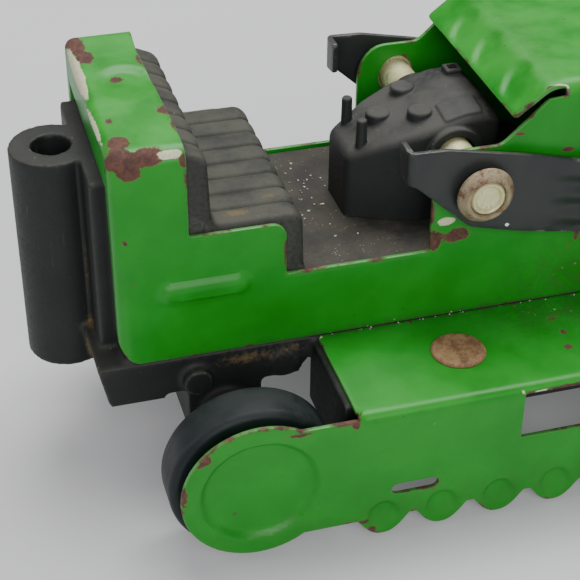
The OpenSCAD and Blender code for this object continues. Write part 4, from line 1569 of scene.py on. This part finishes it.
def build_bucket():
    half = BUCKET_HIGH.y
    inner = half - PLATE - 0.02
    run = BUCKET_RUN[-1]
    blank = rectangle(0, -inner, run, inner, 0.5)
    parts = [sheet("bucket_wrap", [blank], bucket_place, bucket_relief, PLATE, 1.2)]
    corners = [(x, z, 0) for x, z in BUCKET_LINE] + [(LIP_X - 2, 5, 2), (135, 36, 2)]
    outline = [(x, z + GROUND) for x, z in rounded(corners)]
    for s in (-1, 1):
        def cheek_place(u, v, s=s):
            return Vector((u, s * half, v)), Vector((0, s, 0))

        def cheek_relief(u, v):
            return -0.45 * smoothstep(0, 0.8, capsule(u, v - GROUND, (133, 13), (141, 13), 5))

        parts.append(sheet("bucket_cheek", [outline], cheek_place, cheek_relief, PLATE, 1.2))
    pin_out = ARM_Y - ARM_T - 0.15
    back = CURVE[0] - CURVE[2] + 0.5
    lug_edge = arc(TILT_X, TILT_Z, 4.4, 110, 250, 14) + [(back, TILT_Z - 6), (back, TILT_Z + 10)]
    lug_loops = [lug_edge, circle(TILT_X, TILT_Z, 2.05, 32)]
    for s in (-1, 1):
        def lug_place(u, v, s=s):
            return Vector((u, s * pin_out, v)), Vector((0, s, 0))

        parts.append(sheet("bucket_lug", lug_loops, lug_place, None, PLATE, 0.9))
    pitch = (2 * half - 6) / (TEETH - 1)
    tip = BUCKET_HIGH.x - AXLE_X
    for i in range(TEETH):
        y = 3 - half + i * pitch
        shape = rounded([
            (LIP_X - 3.5, y - 3, 0.6), (LIP_X, y - 2.9, 1), (tip, y - 1.2, 0.5),
            (tip, y + 1.2, 0.5), (LIP_X, y + 2.9, 1), (LIP_X - 3.5, y + 3, 0.6),
        ])
        tooth = slab("tooth", shape, tooth_top, GROUND + LIP_Z, 0.2, 0.8)
        put_layer(tooth, "edge", [1.0] * len(tooth.data.vertices))
        parts.append(tooth)
    bucket = join("bucket_pressing", parts)
    stain(bucket, "rust", [(156, y, GROUND + 1, 1.6, 4.5, 1.2, 0.8) for y in (-36, -9, 20, 38)] + [
        (140, -42, GROUND + 3, 5, 1, 2.5, 0.8),
        (129, 42, GROUND + 8, 2, 1, 3, 0.8),
        (143, 12, GROUND + 1, 6, 5, 1, 0.7),
        (125, -30, GROUND + 35.5, 1.2, 5, 1, 0.8),
        (125, 18, GROUND + 35.5, 1.2, 7, 1, 0.7),
    ])
    stain(bucket, "bare", [(158, y, GROUND + 1, 1.8, 8, 1, 0.62) for y in (-28, 0, 30)])
    stain(bucket, "dirt", [(145, 0, GROUND + 1, 14, 40, 3, 0.8)])
    settle(bucket, frame["nodes"]["bucket"]["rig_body"], "green_enamel", GREEN_MAT, "bucket")


# ---------------------------------------------------------------------------
# Stage, lights and camera
# ---------------------------------------------------------------------------

CAMERA_AT = (-0.1098, -0.2015, 0.1673)
CAMERA_AZ = -16.352
CAMERA_EL = 34.981
CAMERA_ROLL = 0.534
CAMERA_LENS = 94.0
FLOOR_GLOW = 0.22


def build_stage():
    size = 3.0
    mesh = bpy.data.meshes.new("floor")
    corners = [(-size, -size, 0), (size, -size, 0), (size, size, 0), (-size, size, 0)]
    mesh.from_pydata(corners, [], [(0, 1, 2, 3)])
    floor = add_object("floor", mesh)
    f = Finish("pale_floor")
    tone = f.noise(60, 2)
    color = f.mix(tone, (0.50, 0.50, 0.51), (0.53, 0.53, 0.54))
    paint = f.close(color, 0.7)
    shader = next(node for node in f.tree.nodes if node.type == "BSDF_PRINCIPLED")
    shader.inputs["Emission Color"].default_value = (0.55, 0.55, 0.56, 1)
    shader.inputs["Emission Strength"].default_value = FLOOR_GLOW
    floor.data.materials.append(paint)


def area_light(name, at, towards, size, watts, color=(1, 1, 1)):
    data = bpy.data.lights.new(name, "AREA")
    data.shape = "RECTANGLE"
    data.size, data.size_y = size
    data.energy = watts
    data.color = color
    light = add_object(name, data)
    light.location = at
    way = Vector(towards) - Vector(at)
    light.rotation_euler = way.to_track_quat("-Z", "Y").to_euler()


def build_lights():
    area_light("key", (0.10, 0.25, 0.75), (-0.03, 0, 0.03), (0.7, 0.5), 9.0)
    area_light("fill", (-0.15, -0.75, 0.5), (-0.03, 0, 0.03), (0.7, 0.5), 5.5)
    area_light("rim", (-0.7, 0.25, 0.35), (-0.06, 0, 0.03), (0.3, 0.5), 1.0)
    world = bpy.data.worlds.new("soft_room")
    bpy.context.scene.world = world
    world.use_nodes = True
    back = world.node_tree.nodes["Background"]
    back.inputs["Color"].default_value = (0.75, 0.77, 0.80, 1)
    back.inputs["Strength"].default_value = 0.32


def build_camera():
    data = bpy.data.cameras.new("camera")
    data.lens = CAMERA_LENS
    data.sensor_width = 36
    data.clip_start = 0.01
    camera = add_object("camera", data)
    az, el = math.radians(CAMERA_AZ), math.radians(CAMERA_EL)
    back = Vector((math.sin(az) * math.cos(el), -math.cos(az) * math.cos(el), math.sin(el)))
    right = Vector((0, 0, 1)).cross(back).normalized()
    up = back.cross(right)
    roll = math.radians(CAMERA_ROLL)
    tilted_right = right * math.cos(roll) + up * math.sin(roll)
    tilted_up = up * math.cos(roll) - right * math.sin(roll)
    turn = Matrix((tilted_right, tilted_up, back)).transposed()
    camera.matrix_world = Matrix.Translation(CAMERA_AT) @ turn.to_4x4()
    bpy.context.scene.camera = camera


build_camera()
build_stage()
build_lights()
build_body()
build_tracks()
build_rivets()
build_base()
build_seat()
build_console()
build_floor()
build_crumbs()
build_grille()
build_wheels()
build_axles()
build_arms()
build_pivot()
build_brace()
build_pins()
build_bucket()
